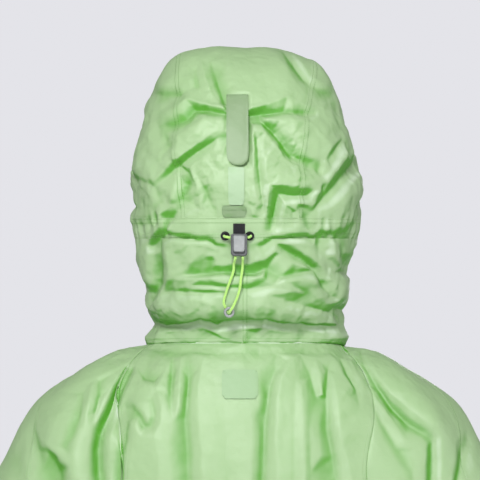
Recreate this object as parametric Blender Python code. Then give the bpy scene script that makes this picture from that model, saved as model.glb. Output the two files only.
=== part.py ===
"""Hooded raglan rain jacket, worn and hollow, with the hood up.

+Z is up, +X the wearer's left, and the back of the jacket faces +Y. The origin is the middle of the neck
opening, level with the neck seam at the back. Tables are in millimetres and the finished meshes in metres.

The cloth is built in three steps. Guides (the seams and the lines midway between them) run down the garment
through one point per station. Sections run across the guides. Folds then push the sections in or out.
"""

import math
from collections import namedtuple

import bmesh
import bpy
import numpy as np
from mathutils import Vector
from mathutils.bvhtree import BVHTree

MM = 0.001

# ---------------------------------------------------------------- driving sizes, millimetres
WALL = 1.2  # cloth, as a solid that can be handled
SEAM_GAP = 0.3  # between two pieces sewn to each other
HEAD_AXIS_Y = -10.0  # the hood is turned about this vertical line
CHANNEL_TOP = 142.0
CHANNEL_BOTTOM = 118.0
CHIN_HEIGHT = 62.0
ZIP_HALF = 5.0  # from the closing line to each front edge
SHOULDER_EXTRA_RIGHT = 10.0  # the jacket sits this much wider on its right shoulder
ARMPIT_STATION = 7
HEM_STATION = 12
CUFF_STATION = 13
BRIM_ANGLE = 134.0  # from straight back, over the crown, to the brim
ARMPIT_OPEN = 0.45  # how far body and sleeve part at once, each side of the seam in the armpit

CLOTH_GREEN = (0.44, 0.66, 0.35, 1.0)
CLOTH_TAB = (0.45, 0.64, 0.38, 1.0)
CLOTH_PALE = (0.56, 0.78, 0.51, 1.0)
CORD_YELLOW = (0.55, 0.95, 0.22, 1.0)
PLASTIC_GREY = (0.45, 0.47, 0.50, 1.0)
WEBBING_BLACK = (0.01, 0.01, 0.012, 1.0)
ZIP_GREEN = (0.30, 0.50, 0.22, 1.0)

# ---------------------------------------------------------------- rings of the lower hood
# One row per height: half width to the left and right, and reach to the back and front of the axis.
Ring = namedtuple("Ring", "height left right back front power")
LOWER_RINGS = (
    Ring(-75, 111, 118, 85, 84, 2.1),
    Ring(-40, 111, 118, 85, 90, 2.1),
    Ring(-10, 111, 118, 85, 98, 2.1),
    Ring(0, 109, 117, 85, 101, 2.1),
    Ring(12, 104, 115, 87, 104, 2.1),
    Ring(20, 102, 117, 92, 106, 2.1),
    Ring(28, 105, 118, 105, 108, 2.15),
    Ring(37, 109, 119, 114, 110, 2.2),
    Ring(48, 112, 121, 117, 112, 2.2),
    Ring(60, 113, 125, 118, 114, 2.2),
    Ring(82, 119, 121, 116, 118, 2.2),
    Ring(94, 122, 126, 116, 121, 2.2),
    Ring(106, 124, 131, 117, 125, 2.2),
    Ring(118, 126, 134, 117, 129, 2.2),
    Ring(130, 128, 136, 117, 134, 2.3),
    Ring(142, 129, 137, 118, 140, 2.3),
)

# Reach of the upper hood from the middle of the channel ring, by elevation in degrees.
Dome = namedtuple("Dome", "elevation left right back front")
UPPER_DOME = (
    Dome(0, 129, 137, 118, 140),
    Dome(10, 129, 141, 124, 146),
    Dome(20, 136, 145, 130, 153),
    Dome(30, 144, 151, 137, 162),
    Dome(40, 155, 160, 146, 173),
    Dome(50, 173, 175, 158, 184),
    Dome(60, 193, 194, 171, 195),
    Dome(66, 205, 203, 180, 200),
    Dome(74, 209, 206, 190, 204),
    Dome(82, 206, 205, 198, 205),
    Dome(90, 203, 203, 203, 203),
)

# Height of the neck seam by azimuth in degrees, from the centre back (0) to the centre front (180).
NeckSeam = namedtuple("NeckSeam", "azimuth height")
NECK_SEAM = (
    NeckSeam(0, 0),
    NeckSeam(40, -1),
    NeckSeam(76, -4),
    NeckSeam(90, -10),
    NeckSeam(104, -22),
    NeckSeam(130, -44),
    NeckSeam(155, -59),
    NeckSeam(180, -65),
)

# Half width of the hood's centre panel, by angle from straight back over the crown.
PanelHalf = namedtuple("PanelHalf", "angle left right")
CENTRE_PANEL = (
    PanelHalf(0, 62, 63),
    PanelHalf(20, 69, 65),
    PanelHalf(40, 74, 68),
    PanelHalf(56, 72, 72),
    PanelHalf(72, 71, 80),
    PanelHalf(100, 68, 74),
    PanelHalf(134, 61, 64),
)

# Azimuth, round the neck, of each seam that ends there, and how many columns of cloth lie before it.
NeckStop = namedtuple("NeckStop", "azimuth columns")
NECK_STOPS = (NeckStop(0, 0), NeckStop(76, 10), NeckStop(90, 2), NeckStop(104, 2), NeckStop(176.4, 9))
CENTRE_PANEL_COLUMNS = 4  # on each side of the middle
FACE_EDGE_COLUMN = 18  # where the channel meets the face opening

# ---------------------------------------------------------------- guides down the body
# Columns x, y, z at stations 1 to 12. Station 0 is on the neck seam, at the azimuth named beside the guide.
# Stations 1 to 7 reach the armpit, and 8 to 12 the hem.
Point = namedtuple("Point", "x y z")
CENTRE_BACK = (
    Point(0, 90, -25), Point(0, 105, -60), Point(0, 114, -92), Point(0, 121, -125),
    Point(0, 126, -160), Point(0, 129, -198), Point(0, 130, -235), Point(0, 130, -300),
    Point(0, 126, -400), Point(0, 124, -520), Point(0, 128, -640), Point(0, 131, -728),
)
MID_BACK = (
    Point(77, 81, -28), Point(88, 101, -62), Point(92, 112, -93), Point(90, 119, -125),
    Point(90, 124, -160), Point(94, 125, -198), Point(99, 123, -235), Point(110, 121, -300),
    Point(114, 118, -400), Point(116, 116, -520), Point(118, 120, -640), Point(118, 123, -725),
)
RAGLAN_BACK = (
    Point(133, 52, -27), Point(146, 79, -58), Point(144, 95, -90), Point(136, 105, -124),
    Point(136, 109, -162), Point(156, 90, -203), Point(185, -5, -235), Point(197, -5, -300),
    Point(204, -6, -400), Point(209, -6, -520), Point(214, -5, -640), Point(217, -4, -716),
)
RAGLAN_FRONT = (
    Point(135, -58, -48), Point(150, -84, -82), Point(152, -100, -116), Point(150, -106, -148),
    Point(151, -102, -180), Point(164, -78, -212), Point(185, -5, -235), Point(197, -5, -300),
    Point(204, -6, -400), Point(209, -6, -520), Point(214, -5, -640), Point(217, -4, -716),
)
MID_FRONT = (
    Point(82, -95, -84), Point(92, -112, -116), Point(97, -122, -146), Point(99, -128, -172),
    Point(100, -131, -198), Point(101, -133, -218), Point(103, -133, -240), Point(112, -131, -300),
    Point(114, -127, -400), Point(116, -125, -520), Point(118, -126, -640), Point(118, -127, -716),
)
CENTRE_FRONT = (
    Point(5, -105, -95), Point(5, -118, -128), Point(5, -126, -156), Point(5, -131, -182),
    Point(5, -134, -205), Point(5, -136, -224), Point(5, -137, -245), Point(5, -138, -302),
    Point(5, -135, -400), Point(5, -133, -520), Point(5, -134, -640), Point(5, -135, -718),
)

# Guides over the sleeve at stations 1 to 7.
SLEEVE_BACK_MID = (
    Point(141, 24, -15), Point(172, 42, -32), Point(196, 64, -62), Point(205, 85, -100),
    Point(206, 98, -145), Point(202, 98, -192), Point(209, 74, -233),
)
OVERARM = (
    Point(145, -6, -12), Point(182, -2, -31), Point(218, 10, -54), Point(238, 32, -82),
    Point(243, 57, -126), Point(249, 74, -172), Point(257, 79, -217),
)
SLEEVE_OUTER = (
    Point(146, -22, -17), Point(186, -24, -37), Point(228, -20, -60), Point(254, -12, -88),
    Point(276, -2, -132), Point(299, -1, -172), Point(316, 0, -207),
)
SLEEVE_FRONT_MID = (
    Point(143, -42, -30), Point(179, -58, -55), Point(208, -73, -88), Point(226, -84, -124),
    Point(237, -90, -162), Point(244, -92, -194), Point(250, -88, -222),
)

# Sleeve below the armpit at stations 8 to 13: middle of the section, half width, half depth, lean in degrees.
ArmRing = namedtuple("ArmRing", "x y z half_width half_depth lean")
ARM_RINGS = (
    ArmRing(281, -2, -292, 65, 82, 16),
    ArmRing(303, -6, -380, 63, 77, 13),
    ArmRing(319, -15, -480, 60, 70, 11),
    ArmRing(334, -32, -580, 57, 63, 9),
    ArmRing(343, -47, -652, 52, 56, 8),
    ArmRing(348, -55, -692, 44, 47, 8),
)
ArmGuides = namedtuple("ArmGuides", "back_mid overarm outer front_mid")
ARM_ANGLES = ArmGuides(back_mid=140, overarm=92, outer=4, front_mid=-88)

# ---------------------------------------------------------------- folds
# depth is how far the cloth sinks (-) or stands out (+) on the line, reach where the fold dies out beside it.
# The line is read in the named view: x and z from the back or front, y and z from a side.
Fold = namedtuple("Fold", "view depth reach line")
HOOD_FOLDS = (
    Fold("back", -7, 17, ((66, 276), (45, 267), (16, 258))),
    Fold("back", 5, 15, ((62, 262), (30, 248))),
    Fold("back", -7, 17, ((-6, 259), (-28, 264), (-54, 277))),
    Fold("back", 4, 14, ((-14, 247), (-46, 262))),
    Fold("back", -4, 16, ((38, 318), (24, 295), (8, 268))),
    Fold("back", -5, 14, ((-66, 330), (-86, 296))),
    Fold("back", -8, 22, ((27, 232), (60, 205), (100, 178))),
    Fold("back", 5, 20, ((40, 246), (84, 214))),
    Fold("back", -5, 16, ((58, 202), (44, 170), (30, 146))),
    Fold("back", -5, 16, ((60, 200), (76, 168))),
    Fold("back", -9, 24, ((-16, 254), (-38, 228), (-56, 206), (-96, 184))),
    Fold("back", 5, 20, ((-30, 200), (-70, 172), (-98, 184))),
    Fold("back", -7, 18, ((-34, 168), (-32, 140), (-22, 116))),
    Fold("back", -6, 18, ((-122, 200), (-78, 152))),
    Fold("back", -5, 16, ((96, 284), (76, 278))),
    Fold("left", -6, 26, ((-95, 240), (-30, 215), (60, 170))),
    Fold("left", -5, 22, ((-95, 180), (-20, 160), (50, 150))),
    Fold("left", 5, 24, ((-60, 300), (-10, 270), (50, 250))),
    Fold("right", -6, 26, ((-90, 250), (-20, 225), (60, 190))),
    Fold("right", -5, 22, ((-95, 190), (-20, 165), (50, 152))),
    Fold("right", 5, 24, ((-70, 290), (0, 270), (50, 240))),
)
NECK_FOLDS = (
    Fold("back", -7, 24, ((98, 112), (96, 80), (92, 46))),
    Fold("back", -7, 24, ((76, 80), (34, 97), (12, 84), (-24, 84), (-40, 98))),
    Fold("back", -4, 20, ((82, 60), (30, 54), (-64, 58))),
    Fold("back", 4, 22, ((50, 70), (0, 69), (-60, 72))),
    Fold("back", -8, 22, ((-32, 112), (-82, 88), (-106, 50))),
    Fold("back", 6, 20, ((-84, 108), (-80, 80), (-50, 66))),
    Fold("back", -2.5, 18, ((96, 17), (40, 21), (-54, 20), (-100, 15))),
    Fold("left", -6, 22, ((-90, 84), (-20, 70), (50, 60))),
    Fold("right", -6, 22, ((-90, 78), (-20, 66), (50, 72))),
    Fold("front", -6, 20, ((90, 50), (40, 20), (14, -20))),
    Fold("front", -6, 20, ((-90, 40), (-46, 14), (-14, -24))),
)
BODY_FOLDS = (
    Fold("back", -16, 24, ((124, -32), (142, -66), (158, -118), (160, -190))),
    Fold("back", 7, 22, ((150, -40), (178, -90), (186, -160))),
    Fold("back", -8, 28, ((226, -118), (210, -160), (204, -200))),
    Fold("back", -5, 22, ((62, -40), (60, -140), (64, -260))),
    Fold("back", -5, 20, ((-24, -34), (-28, -130), (-30, -250))),
    Fold("back", -5, 18, ((-94, -50), (-96, -150), (-100, -260))),
    Fold("back", -11, 24, ((-136, -28), (-158, -62), (-206, -112))),
    Fold("back", -8, 28, ((-216, -110), (-216, -150), (-208, -200))),
    Fold("back", 8, 22, ((-160, -38), (-208, -78), (-238, -112))),
    Fold("back", -12, 26, ((-176, -215), (-150, -300), (-138, -390))),
    Fold("back", -12, 26, ((176, -215), (148, -310), (140, -400))),
    Fold("back", -8, 34, ((30, -290), (36, -420), (26, -560))),
    Fold("back", -7, 32, ((-64, -330), (-70, -470), (-66, -640))),
    Fold("back", 6, 34, ((84, -420), (92, -560), (90, -700))),
    Fold("back", 6, 34, ((-20, -440), (-22, -580), (-18, -700))),
    Fold("front", -12, 26, ((160, -190), (120, -250), (70, -300))),
    Fold("front", -12, 26, ((-164, -190), (-118, -262), (-66, -320))),
    Fold("front", -7, 24, ((96, -110), (80, -190), (74, -260))),
    Fold("front", -7, 24, ((-100, -120), (-84, -200), (-80, -270))),
    Fold("front", -7, 30, ((110, -360), (96, -500), (100, -640))),
    Fold("front", -7, 30, ((-112, -380), (-100, -520), (-96, -660))),
    Fold("front", 5, 30, ((50, -400), (56, -540), (52, -690))),
    Fold("front", 5, 30, ((-50, -420), (-54, -560), (-50, -690))),
)
SLEEVE_FOLDS = (
    Fold("back", -9, 26, ((212, -300), (262, -330), (330, -318))),
    Fold("back", -8, 24, ((236, -420), (290, -440), (356, -424))),
    Fold("back", 6, 24, ((230, -372), (280, -392), (346, -372))),
    Fold("back", -8, 24, ((258, -520), (312, -508), (372, -528))),
    Fold("back", -8, 22, ((280, -600), (330, -618), (384, -604))),
    Fold("front", -9, 24, ((214, -310), (270, -342), (334, -326))),
    Fold("front", -10, 24, ((246, -452), (300, -478), (362, -462))),
    Fold("front", -9, 22, ((262, -500), (316, -486), (368, -506))),
    Fold("front", -9, 22, ((270, -548), (322, -566), (376, -548))),
    Fold("front", -7, 20, ((286, -630), (338, -640), (386, -626))),
)
# Gathers of the drawcord channel: azimuths between which they stand, and how many on each side.
Gather = namedtuple("Gather", "side start end count height")
GATHERS = (Gather(1, 40, 130, 10, 1.8), Gather(-1, 36, 130, 11, 1.8))
CHANNEL_STEPS_PER_GATHER = 4

# ---------------------------------------------------------------- rows of cloth along each piece
UPPER_ROWS = np.concatenate([np.linspace(0, 5.6, 12), (6.0, 6.35, 6.7, 7.0)])
TORSO_ROWS = np.concatenate([(7.0, 7.3, 7.7), np.linspace(8.3, HEM_STATION, 7)])
SLEEVE_ROWS = np.concatenate([(7.0, 7.3, 7.7), np.linspace(8.3, CUFF_STATION, 10)])
HOOD_ANGLES = np.concatenate([np.linspace(0, 60, 10), np.linspace(68, BRIM_ANGLE, 8)])
NECK_ROWS = (0, 0.1, 0.17, 0.235, 0.3, 0.38, 0.48, 0.6, 0.72, 0.86, 1.0)
BACK_COLUMNS = 10
FRONT_COLUMNS = 9
SLEEVE_BACK_COLUMNS = 7
SLEEVE_FRONT_COLUMNS = 9

# ---------------------------------------------------------------- sewn-on pieces, read from the back (x, z)
Strip = namedtuple("Strip", "name x z half_width length thick corner colour")
TAB = Strip("hood_tab", 5.0, 282.0, 12.5, 80.0, 1.2, 11.0, CLOTH_TAB)
LOOP_STRIP = Strip("loop_strip", 6.3, 199.0, 9.0, 43.0, 1.0, 4.0, CLOTH_PALE)
HEM_PATCH = Strip("hem_patch", 8.5, 155.4, 14.0, 12.4, 1.0, 1.5, CLOTH_TAB)
BACK_PATCH = Strip("back_patch", 2.0, -29.0, 20.5, 32.0, 1.0, 4.0, CLOTH_GREEN)
SEAT_GAP = 0.35  # between a sewn-on piece and the nearest point of the cloth under it
TAB_STAND_OFF = 5.0  # of its free lower end
CHANNEL_STAND_OUT = 0.8  # the channel's own fullness

CORD_DIAMETER = 3.0
EYELET_OUTER = 5.2
EYELET_INNER = 3.4
EYELET_THICK = 1.0
EYELET_X = {"left": 18.6, "right": -8.9}
EYELET_Z = 121.5
FEED_OFF_CENTRE = 1.2  # where each cord leaves its eyelet, away from the lock
FEED_STRAIGHT = 0.6  # of cord before and after its turn into the lock
FEED_TURN_STEPS = 3
FEED_DROP = 1.8
LOCK_X = 3.0
LOCK_TOP = 124.0
LOCK_HALF_WIDTH = 9.2
LOCK_HEIGHT = 25.0
LOCK_DEPTH = 8.0
LOCK_ROUND = 3.4
PLATE_HALF_WIDTH = 6.4
PLATE_HEIGHT = 18.4
PLATE_STAND_OUT = 0.9
PLATE_SLOT = 2.0  # room below the plate for its stroke
WEBBING_HALF_WIDTH = 6.8
WEBBING_TOP = 135.5
WEBBING_THICK = 1.3
RING_X = 14.2
RING_Z = 36.0
RING_MAJOR = 4.55
RING_MINOR = 1.5

ZIP_TAPE_WIDTH = 11.0
ZIP_TAPE_THICK = 0.9
ZIP_TAPE_GAP = 0.5  # behind the fronts
ZIP_END = 2.0  # of the tapes short of the chin and the hem
SLIDER_Z = 46.0
SLIDER_HALF_WIDTH = 4.2
SLIDER_HALF_HEIGHT = 6.0
SLIDER_THICK = 2.8
EAR_INNER = 2.6  # the ears that hold the pull's pin, measured from the middle
EAR_OUTER = 3.7
EAR_RADIUS = 1.9
PIN_STAND_OUT = 2.1  # of the pin's axis from the slider's face
PIN_RADIUS = 1.1
PULL_HALF_WIDTH = 2.3
PULL_LENGTH = 26.0
PULL_THICK = 1.4
BOX_HALF_WIDTH = 4.4
BOX_HEIGHT = 11.0
BOX_THICK = 2.6


# ================================================================ curves and sections
def cubic(knots, values, at, start=None, end=None):
    """Smooth curve through values at knots; start and end are its slopes there, or None for free ends."""
    knots = np.asarray(knots, float)
    values = np.asarray(values, float)
    gaps = np.diff(knots)
    rises = np.diff(values, axis=0) / gaps[:, None]
    count = len(knots)
    matrix = np.zeros((count, count))
    known = np.zeros_like(values)
    for i in range(1, count - 1):
        matrix[i, i - 1 : i + 2] = 1 / gaps[i - 1], 2 / gaps[i - 1] + 2 / gaps[i], 1 / gaps[i]
        known[i] = 3 * (rises[i - 1] / gaps[i - 1] + rises[i] / gaps[i])
    for row, near, slope, rise in ((0, 1, start, rises[0]), (count - 1, count - 2, end, rises[-1])):
        matrix[row, row] = 1.0 if slope is not None else 2.0
        matrix[row, near] = 0.0 if slope is not None else 1.0
        known[row] = slope if slope is not None else 3 * rise
    slopes = np.linalg.solve(matrix, known)
    at = np.asarray(at, float)
    i = np.clip(np.searchsorted(knots, at, side="right") - 1, 0, count - 2)
    h = gaps[i][:, None]
    t = ((at - knots[i]) / gaps[i])[:, None]
    return (
        (1 + 2 * t) * (1 - t) ** 2 * values[i]
        + t * (1 - t) ** 2 * h * slopes[i]
        + t * t * (3 - 2 * t) * values[i + 1]
        + t * t * (t - 1) * h * slopes[i + 1]
    )


def smooth_step(low, high, value):
    """0 below low, 1 above high, and an even S between them."""
    t = np.clip((np.asarray(value, float) - low) / (high - low), 0, 1)
    return t * t * (3 - 2 * t)


def unit(vectors):
    """The same directions at length 1."""
    vectors = np.asarray(vectors, float)
    return vectors / np.maximum(np.linalg.norm(vectors, axis=-1, keepdims=True), 1e-9)


def column(table, name):
    """One named column of a table."""
    return np.array([getattr(row, name) for row in table], float)


def section(points, first_direction, last_direction, spans, fullness=1.12):
    """Points on one section through its guide points, spans[i] of them between guide i and the next."""
    points = np.asarray(points, float)
    chords = np.linalg.norm(np.diff(points, axis=0), axis=1)
    knots = np.concatenate([[0], np.cumsum(chords)])
    at = [knots[0]]
    for first, last, steps in zip(knots[:-1], knots[1:], spans):
        at.extend(np.linspace(first, last, steps + 1)[1:])
    return cubic(knots, points, at, first_direction * fullness, last_direction * fullness)


# ================================================================ the hood's two shapes
def ring_reach(azimuth, side_reach, back, front, power):
    """Distance from the axis at an azimuth in degrees, on a rounded ring with the given reaches."""
    angle = np.radians(azimuth)
    ahead = np.where(np.cos(angle) >= 0, back, front)
    total = (np.abs(np.sin(angle)) / side_reach) ** power + (np.abs(np.cos(angle)) / ahead) ** power
    return total ** (-1 / power)


def lower_hood(azimuth, height, side):
    """Points of the lower hood at an azimuth (0 back, 180 front) and height, for side 1 (left) or -1."""
    azimuth = np.asarray(azimuth, float)
    height = np.broadcast_to(np.asarray(height, float), azimuth.shape)
    heights = column(LOWER_RINGS, "height")
    names = ("left" if side > 0 else "right", "back", "front", "power")
    table = np.stack([column(LOWER_RINGS, name) for name in names], axis=1)
    sizes = cubic(heights, table, np.clip(height, heights[0], heights[-1]).ravel())
    reach, back, front, power = (sizes[:, i].reshape(azimuth.shape) for i in range(4))
    distance = ring_reach(azimuth, reach, back, front, power)
    angle = np.radians(azimuth)
    return np.stack(
        [side * distance * np.sin(angle), HEAD_AXIS_Y + distance * np.cos(angle), height], axis=-1
    )


def dome_reach(directions, side):
    """Distance from the middle of the channel ring to the upper hood, along unit directions."""
    elevation = np.degrees(np.arcsin(np.clip(directions[..., 2], -1, 1)))
    azimuth = np.degrees(np.arctan2(np.abs(directions[..., 0]), directions[..., 1]))
    names = ("left" if side > 0 else "right", "back", "front")
    table = np.stack([column(UPPER_DOME, name) for name in names], axis=1)
    sizes = cubic(column(UPPER_DOME, "elevation"), table, np.clip(elevation, 0, 90).ravel())
    reach, back, front = (sizes[:, i].reshape(elevation.shape) for i in range(3))
    power = 2.0 + 0.3 * np.cos(np.radians(elevation)) ** 2
    return ring_reach(azimuth, reach, back, front, power)


DOME_MIDDLE = np.array((0.0, HEAD_AXIS_Y, CHANNEL_TOP))


def on_dome(directions, side):
    """Points of the upper hood along directions from the middle of the channel ring."""
    directions = unit(directions)
    return DOME_MIDDLE + directions * dome_reach(directions, side)[..., None]


def dome_line(x, angle, side):
    """The upper hood's point at a given x, at an angle from straight back (0) over the crown (90)."""
    x, angle = np.broadcast_arrays(np.asarray(x, float), np.radians(np.asarray(angle, float)))
    radius = np.full(x.shape, 150.0)
    for _ in range(40):
        offset = np.stack([x, radius * np.cos(angle), radius * np.sin(angle)], axis=-1)
        reach = dome_reach(unit(offset), side)
        radius = np.sqrt(np.maximum(reach**2 - x**2, 1.0))
    return DOME_MIDDLE + np.stack([x, radius * np.cos(angle), radius * np.sin(angle)], axis=-1)


def neck_azimuths():
    """Azimuth of each column round the neck, from the centre back to the zip."""
    azimuths = [0.0]
    for before, stop in zip(NECK_STOPS[:-1], NECK_STOPS[1:]):
        azimuths.extend(np.linspace(before.azimuth, stop.azimuth, stop.columns + 1)[1:])
    return np.array(azimuths)


def neck_seam(azimuth, side):
    """Points of the neck seam, on straight chords between the columns round the neck."""
    columns = neck_azimuths()
    table = np.array(NECK_SEAM, float)
    heights = cubic(table[:, 0], table[:, 1:], columns)[:, 0]
    corners = lower_hood(columns, heights, side)
    return np.stack([np.interp(azimuth, columns, corners[:, axis]) for axis in range(3)], axis=-1)


def cover_edge_height(azimuth):
    """Top of the lower hood: under the channel, then down the face opening to the chin."""
    face = neck_azimuths()[FACE_EDGE_COLUMN]
    fall = smooth_step(face, 180, azimuth)
    return CHANNEL_BOTTOM + (CHIN_HEIGHT - CHANNEL_BOTTOM) * fall


# ================================================================ pieces as grids of points
def mirrored(points, side):
    """Guide points put on one side of the body, a little wider on the right."""
    points = np.array(points, float)
    if side < 0:
        points[..., 0] += SHOULDER_EXTRA_RIGHT * np.clip(points[..., 0] / 250, 0, 1)
        points[..., 0] *= -1
    return points


def guide(table, azimuth, side):
    """Whole guide: its point on the neck seam, then its table."""
    return np.vstack([neck_seam(np.array([azimuth]), side), mirrored(table, side)])


def arm_point(ring, angle, side):
    """A point of the sleeve's section, at an angle from its outer side (0) to the back (90)."""
    lean = math.radians(ring.lean)
    turn = math.radians(angle)
    across = ring.half_width * math.cos(turn)
    point = (
        ring.x + across * math.cos(lean),
        ring.y + ring.half_depth * math.sin(turn),
        ring.z + across * math.sin(lean),
    )
    return mirrored(point, side)


def along(points, stations, corner):
    """A guide read at stations; one that turns at the armpit is two curves that meet there."""
    stations = np.asarray(stations, float)
    knots = np.arange(len(points))
    if not corner:
        return cubic(knots, points, stations)
    upper = cubic(knots[: ARMPIT_STATION + 1], points[: ARMPIT_STATION + 1], np.minimum(stations, ARMPIT_STATION))
    lower = cubic(knots[ARMPIT_STATION:], points[ARMPIT_STATION:], np.maximum(stations, ARMPIT_STATION))
    return np.where((stations <= ARMPIT_STATION)[:, None], upper, lower)


def meet_neck(grid, stations, azimuths, side):
    """Bring a grid's first row onto the neck seam, and ease the rows under it."""
    shift = neck_seam(azimuths, side) - grid[0]
    fade = np.clip(1 - np.asarray(stations), 0, 1) ** 2
    return grid + fade[:, None, None] * shift[None]


def crease_share(stations):
    """How far a raglan seam has turned into the fold of the armpit: 0 at the neck, 1 at the armpit."""
    return smooth_step(4.2, ARMPIT_STATION, stations)


ArmpitWays = namedtuple("ArmpitWays", "back sleeve_back sleeve_front front")


def armpit_ways(stations, side):
    """Directions of the sections at the raglan seams in the armpit, where body and sleeve part downwards."""
    near = np.exp(-(((np.asarray(stations) - ARMPIT_STATION) / 1.1) ** 2))
    out = side * ARMPIT_OPEN * near
    up = ARMPIT_OPEN * near
    ahead = np.ones_like(near)
    return ArmpitWays(
        back=unit(np.stack([0.5 * out, -ahead, up], axis=-1)),
        sleeve_back=unit(np.stack([out, ahead, -up], axis=-1)),
        sleeve_front=unit(np.stack([-out, ahead, up], axis=-1)),
        front=unit(np.stack([-0.5 * out, -ahead, -up], axis=-1)),
    )


def torso_half(stations, side):
    """Grids of the back half and the front of the body, columns running outwards and forwards."""
    neck = {"back": 0.0, "mid_back": 36.0, "raglan_back": 76.0, "raglan_front": 104.0, "mid_front": 138.0}
    centre_back = along(guide(CENTRE_BACK, neck["back"], side), stations, False)
    mid_back = along(guide(MID_BACK, neck["mid_back"], side), stations, False)
    raglan_back = along(guide(RAGLAN_BACK, neck["raglan_back"], side), stations, True)
    raglan_front = along(guide(RAGLAN_FRONT, neck["raglan_front"], side), stations, True)
    mid_front = along(guide(MID_FRONT, neck["mid_front"], side), stations, False)
    centre_front = along(guide(CENTRE_FRONT, NECK_STOPS[-1].azimuth, side), stations, False)
    sleeve = sleeve_guides(side)
    reading = np.minimum(stations, ARMPIT_STATION)
    back_beyond = along(sleeve["back_mid"], reading, False)
    front_beyond = along(sleeve["front_mid"], reading, False)
    ways = armpit_ways(stations, side)
    outwards = np.array((float(side), 0.0, 0.0))
    backs, fronts = [], []
    for i, share in enumerate(crease_share(stations)):
        smooth = unit(back_beyond[i] - mid_back[i])
        turn = unit(smooth * (1 - share) + ways.back[i] * share)
        backs.append(
            section((centre_back[i], mid_back[i], raglan_back[i]), outwards, turn, (BACK_COLUMNS // 2,) * 2)
        )
        smooth = unit(mid_front[i] - front_beyond[i])
        turn = unit(smooth * (1 - share) + ways.front[i] * share)
        spans = (FRONT_COLUMNS // 2, FRONT_COLUMNS - FRONT_COLUMNS // 2)
        fronts.append(section((raglan_front[i], mid_front[i], centre_front[i]), turn, -outwards, spans))
    columns = neck_azimuths()
    back = meet_neck(np.array(backs), stations, columns[: BACK_COLUMNS + 1], side)
    front = meet_neck(np.array(fronts), stations, columns[-FRONT_COLUMNS - 1 :], side)
    return back, front


def sleeve_guides(side):
    """The four guides over a sleeve from the neck to the cuff, and the two seams beside it."""
    tables = {
        "back_mid": (SLEEVE_BACK_MID, 83.0),
        "overarm": (OVERARM, 90.0),
        "outer": (SLEEVE_OUTER, 95.0),
        "front_mid": (SLEEVE_FRONT_MID, 99.5),
    }
    guides = {}
    for name, (table, azimuth) in tables.items():
        angle = getattr(ARM_ANGLES, name)
        lower = [arm_point(ring, angle, side) for ring in ARM_RINGS]
        guides[name] = np.vstack([guide(table, azimuth, side), lower])
    under = [arm_point(ring, 180, side) for ring in ARM_RINGS]
    for name, table, azimuth in (("seam_back", RAGLAN_BACK, 76.0), ("seam_front", RAGLAN_FRONT, 104.0)):
        guides[name] = np.vstack([guide(table[:ARMPIT_STATION], azimuth, side), under])
    return guides


def sleeve_half(stations, side):
    """Grids of a sleeve's back and front pieces, columns running from the back seam over the arm."""
    guides = sleeve_guides(side)
    seam_back = along(guides["seam_back"], stations, True)
    seam_front = along(guides["seam_front"], stations, True)
    inner = [along(guides[name], stations, False) for name in ("back_mid", "overarm", "outer", "front_mid")]
    reading = np.minimum(stations, ARMPIT_STATION)
    mid_back = along(guide(MID_BACK, 36.0, side), reading, False)
    mid_front = along(guide(MID_FRONT, 138.0, side), reading, False)
    ways = armpit_ways(stations, side)
    back_spans = (3, SLEEVE_BACK_COLUMNS - 3)
    front_spans = (3, 3, SLEEVE_FRONT_COLUMNS - 6)
    rows = []
    for i, share in enumerate(crease_share(stations)):
        smooth_start = unit(inner[0][i] - mid_back[i])
        smooth_end = unit(mid_front[i] - inner[-1][i])
        start = unit(smooth_start * (1 - share) + ways.sleeve_back[i] * share)
        end = unit(smooth_end * (1 - share) + ways.sleeve_front[i] * share)
        points = [seam_back[i]] + [line[i] for line in inner] + [seam_front[i]]
        rows.append(section(points, start, end, back_spans + front_spans))
    grid = np.array(rows)
    azimuths = np.concatenate(
        [np.linspace(76, 90, SLEEVE_BACK_COLUMNS + 1), np.linspace(90, 104, SLEEVE_FRONT_COLUMNS + 1)[1:]]
    )
    grid = meet_neck(grid, stations, azimuths, side)
    return grid[:, : SLEEVE_BACK_COLUMNS + 1], grid[:, SLEEVE_BACK_COLUMNS:]


def centre_panel():
    """Grid of the hood's centre panel, rows from the channel over the crown to the brim."""
    columns = neck_azimuths()[: CENTRE_PANEL_COLUMNS + 1]
    halves = []
    for side in (1, -1):
        bottom = on_dome(_level_directions(columns, side), side)
        share = bottom[:, 0] / bottom[-1, 0]
        widths = panel_half(HOOD_ANGLES, side)
        halves.append(dome_line(widths[:, None] * share[None, :], HOOD_ANGLES[:, None], side))
    return np.concatenate([halves[1][:, :0:-1], halves[0]], axis=1)


def _level_directions(azimuths, side):
    """Level directions from the axis at some azimuths."""
    angle = np.radians(azimuths)
    return np.stack([side * np.sin(angle), np.cos(angle), np.zeros_like(angle)], axis=-1)


def panel_half(angles, side):
    """Where the centre panel's seam runs: its x at each angle over the crown."""
    table = np.stack([column(CENTRE_PANEL, "left"), column(CENTRE_PANEL, "right")], axis=1)
    widths = cubic(column(CENTRE_PANEL, "angle"), table, angles)
    # The seam starts on a column of the channel.
    start = on_dome(_level_directions(neck_azimuths()[[CENTRE_PANEL_COLUMNS]], side), side)[0, 0]
    width = widths[:, 0] if side > 0 else -widths[:, 1]
    return width + (start - width[0]) * np.clip(1 - angles / 40, 0, 1)


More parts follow.
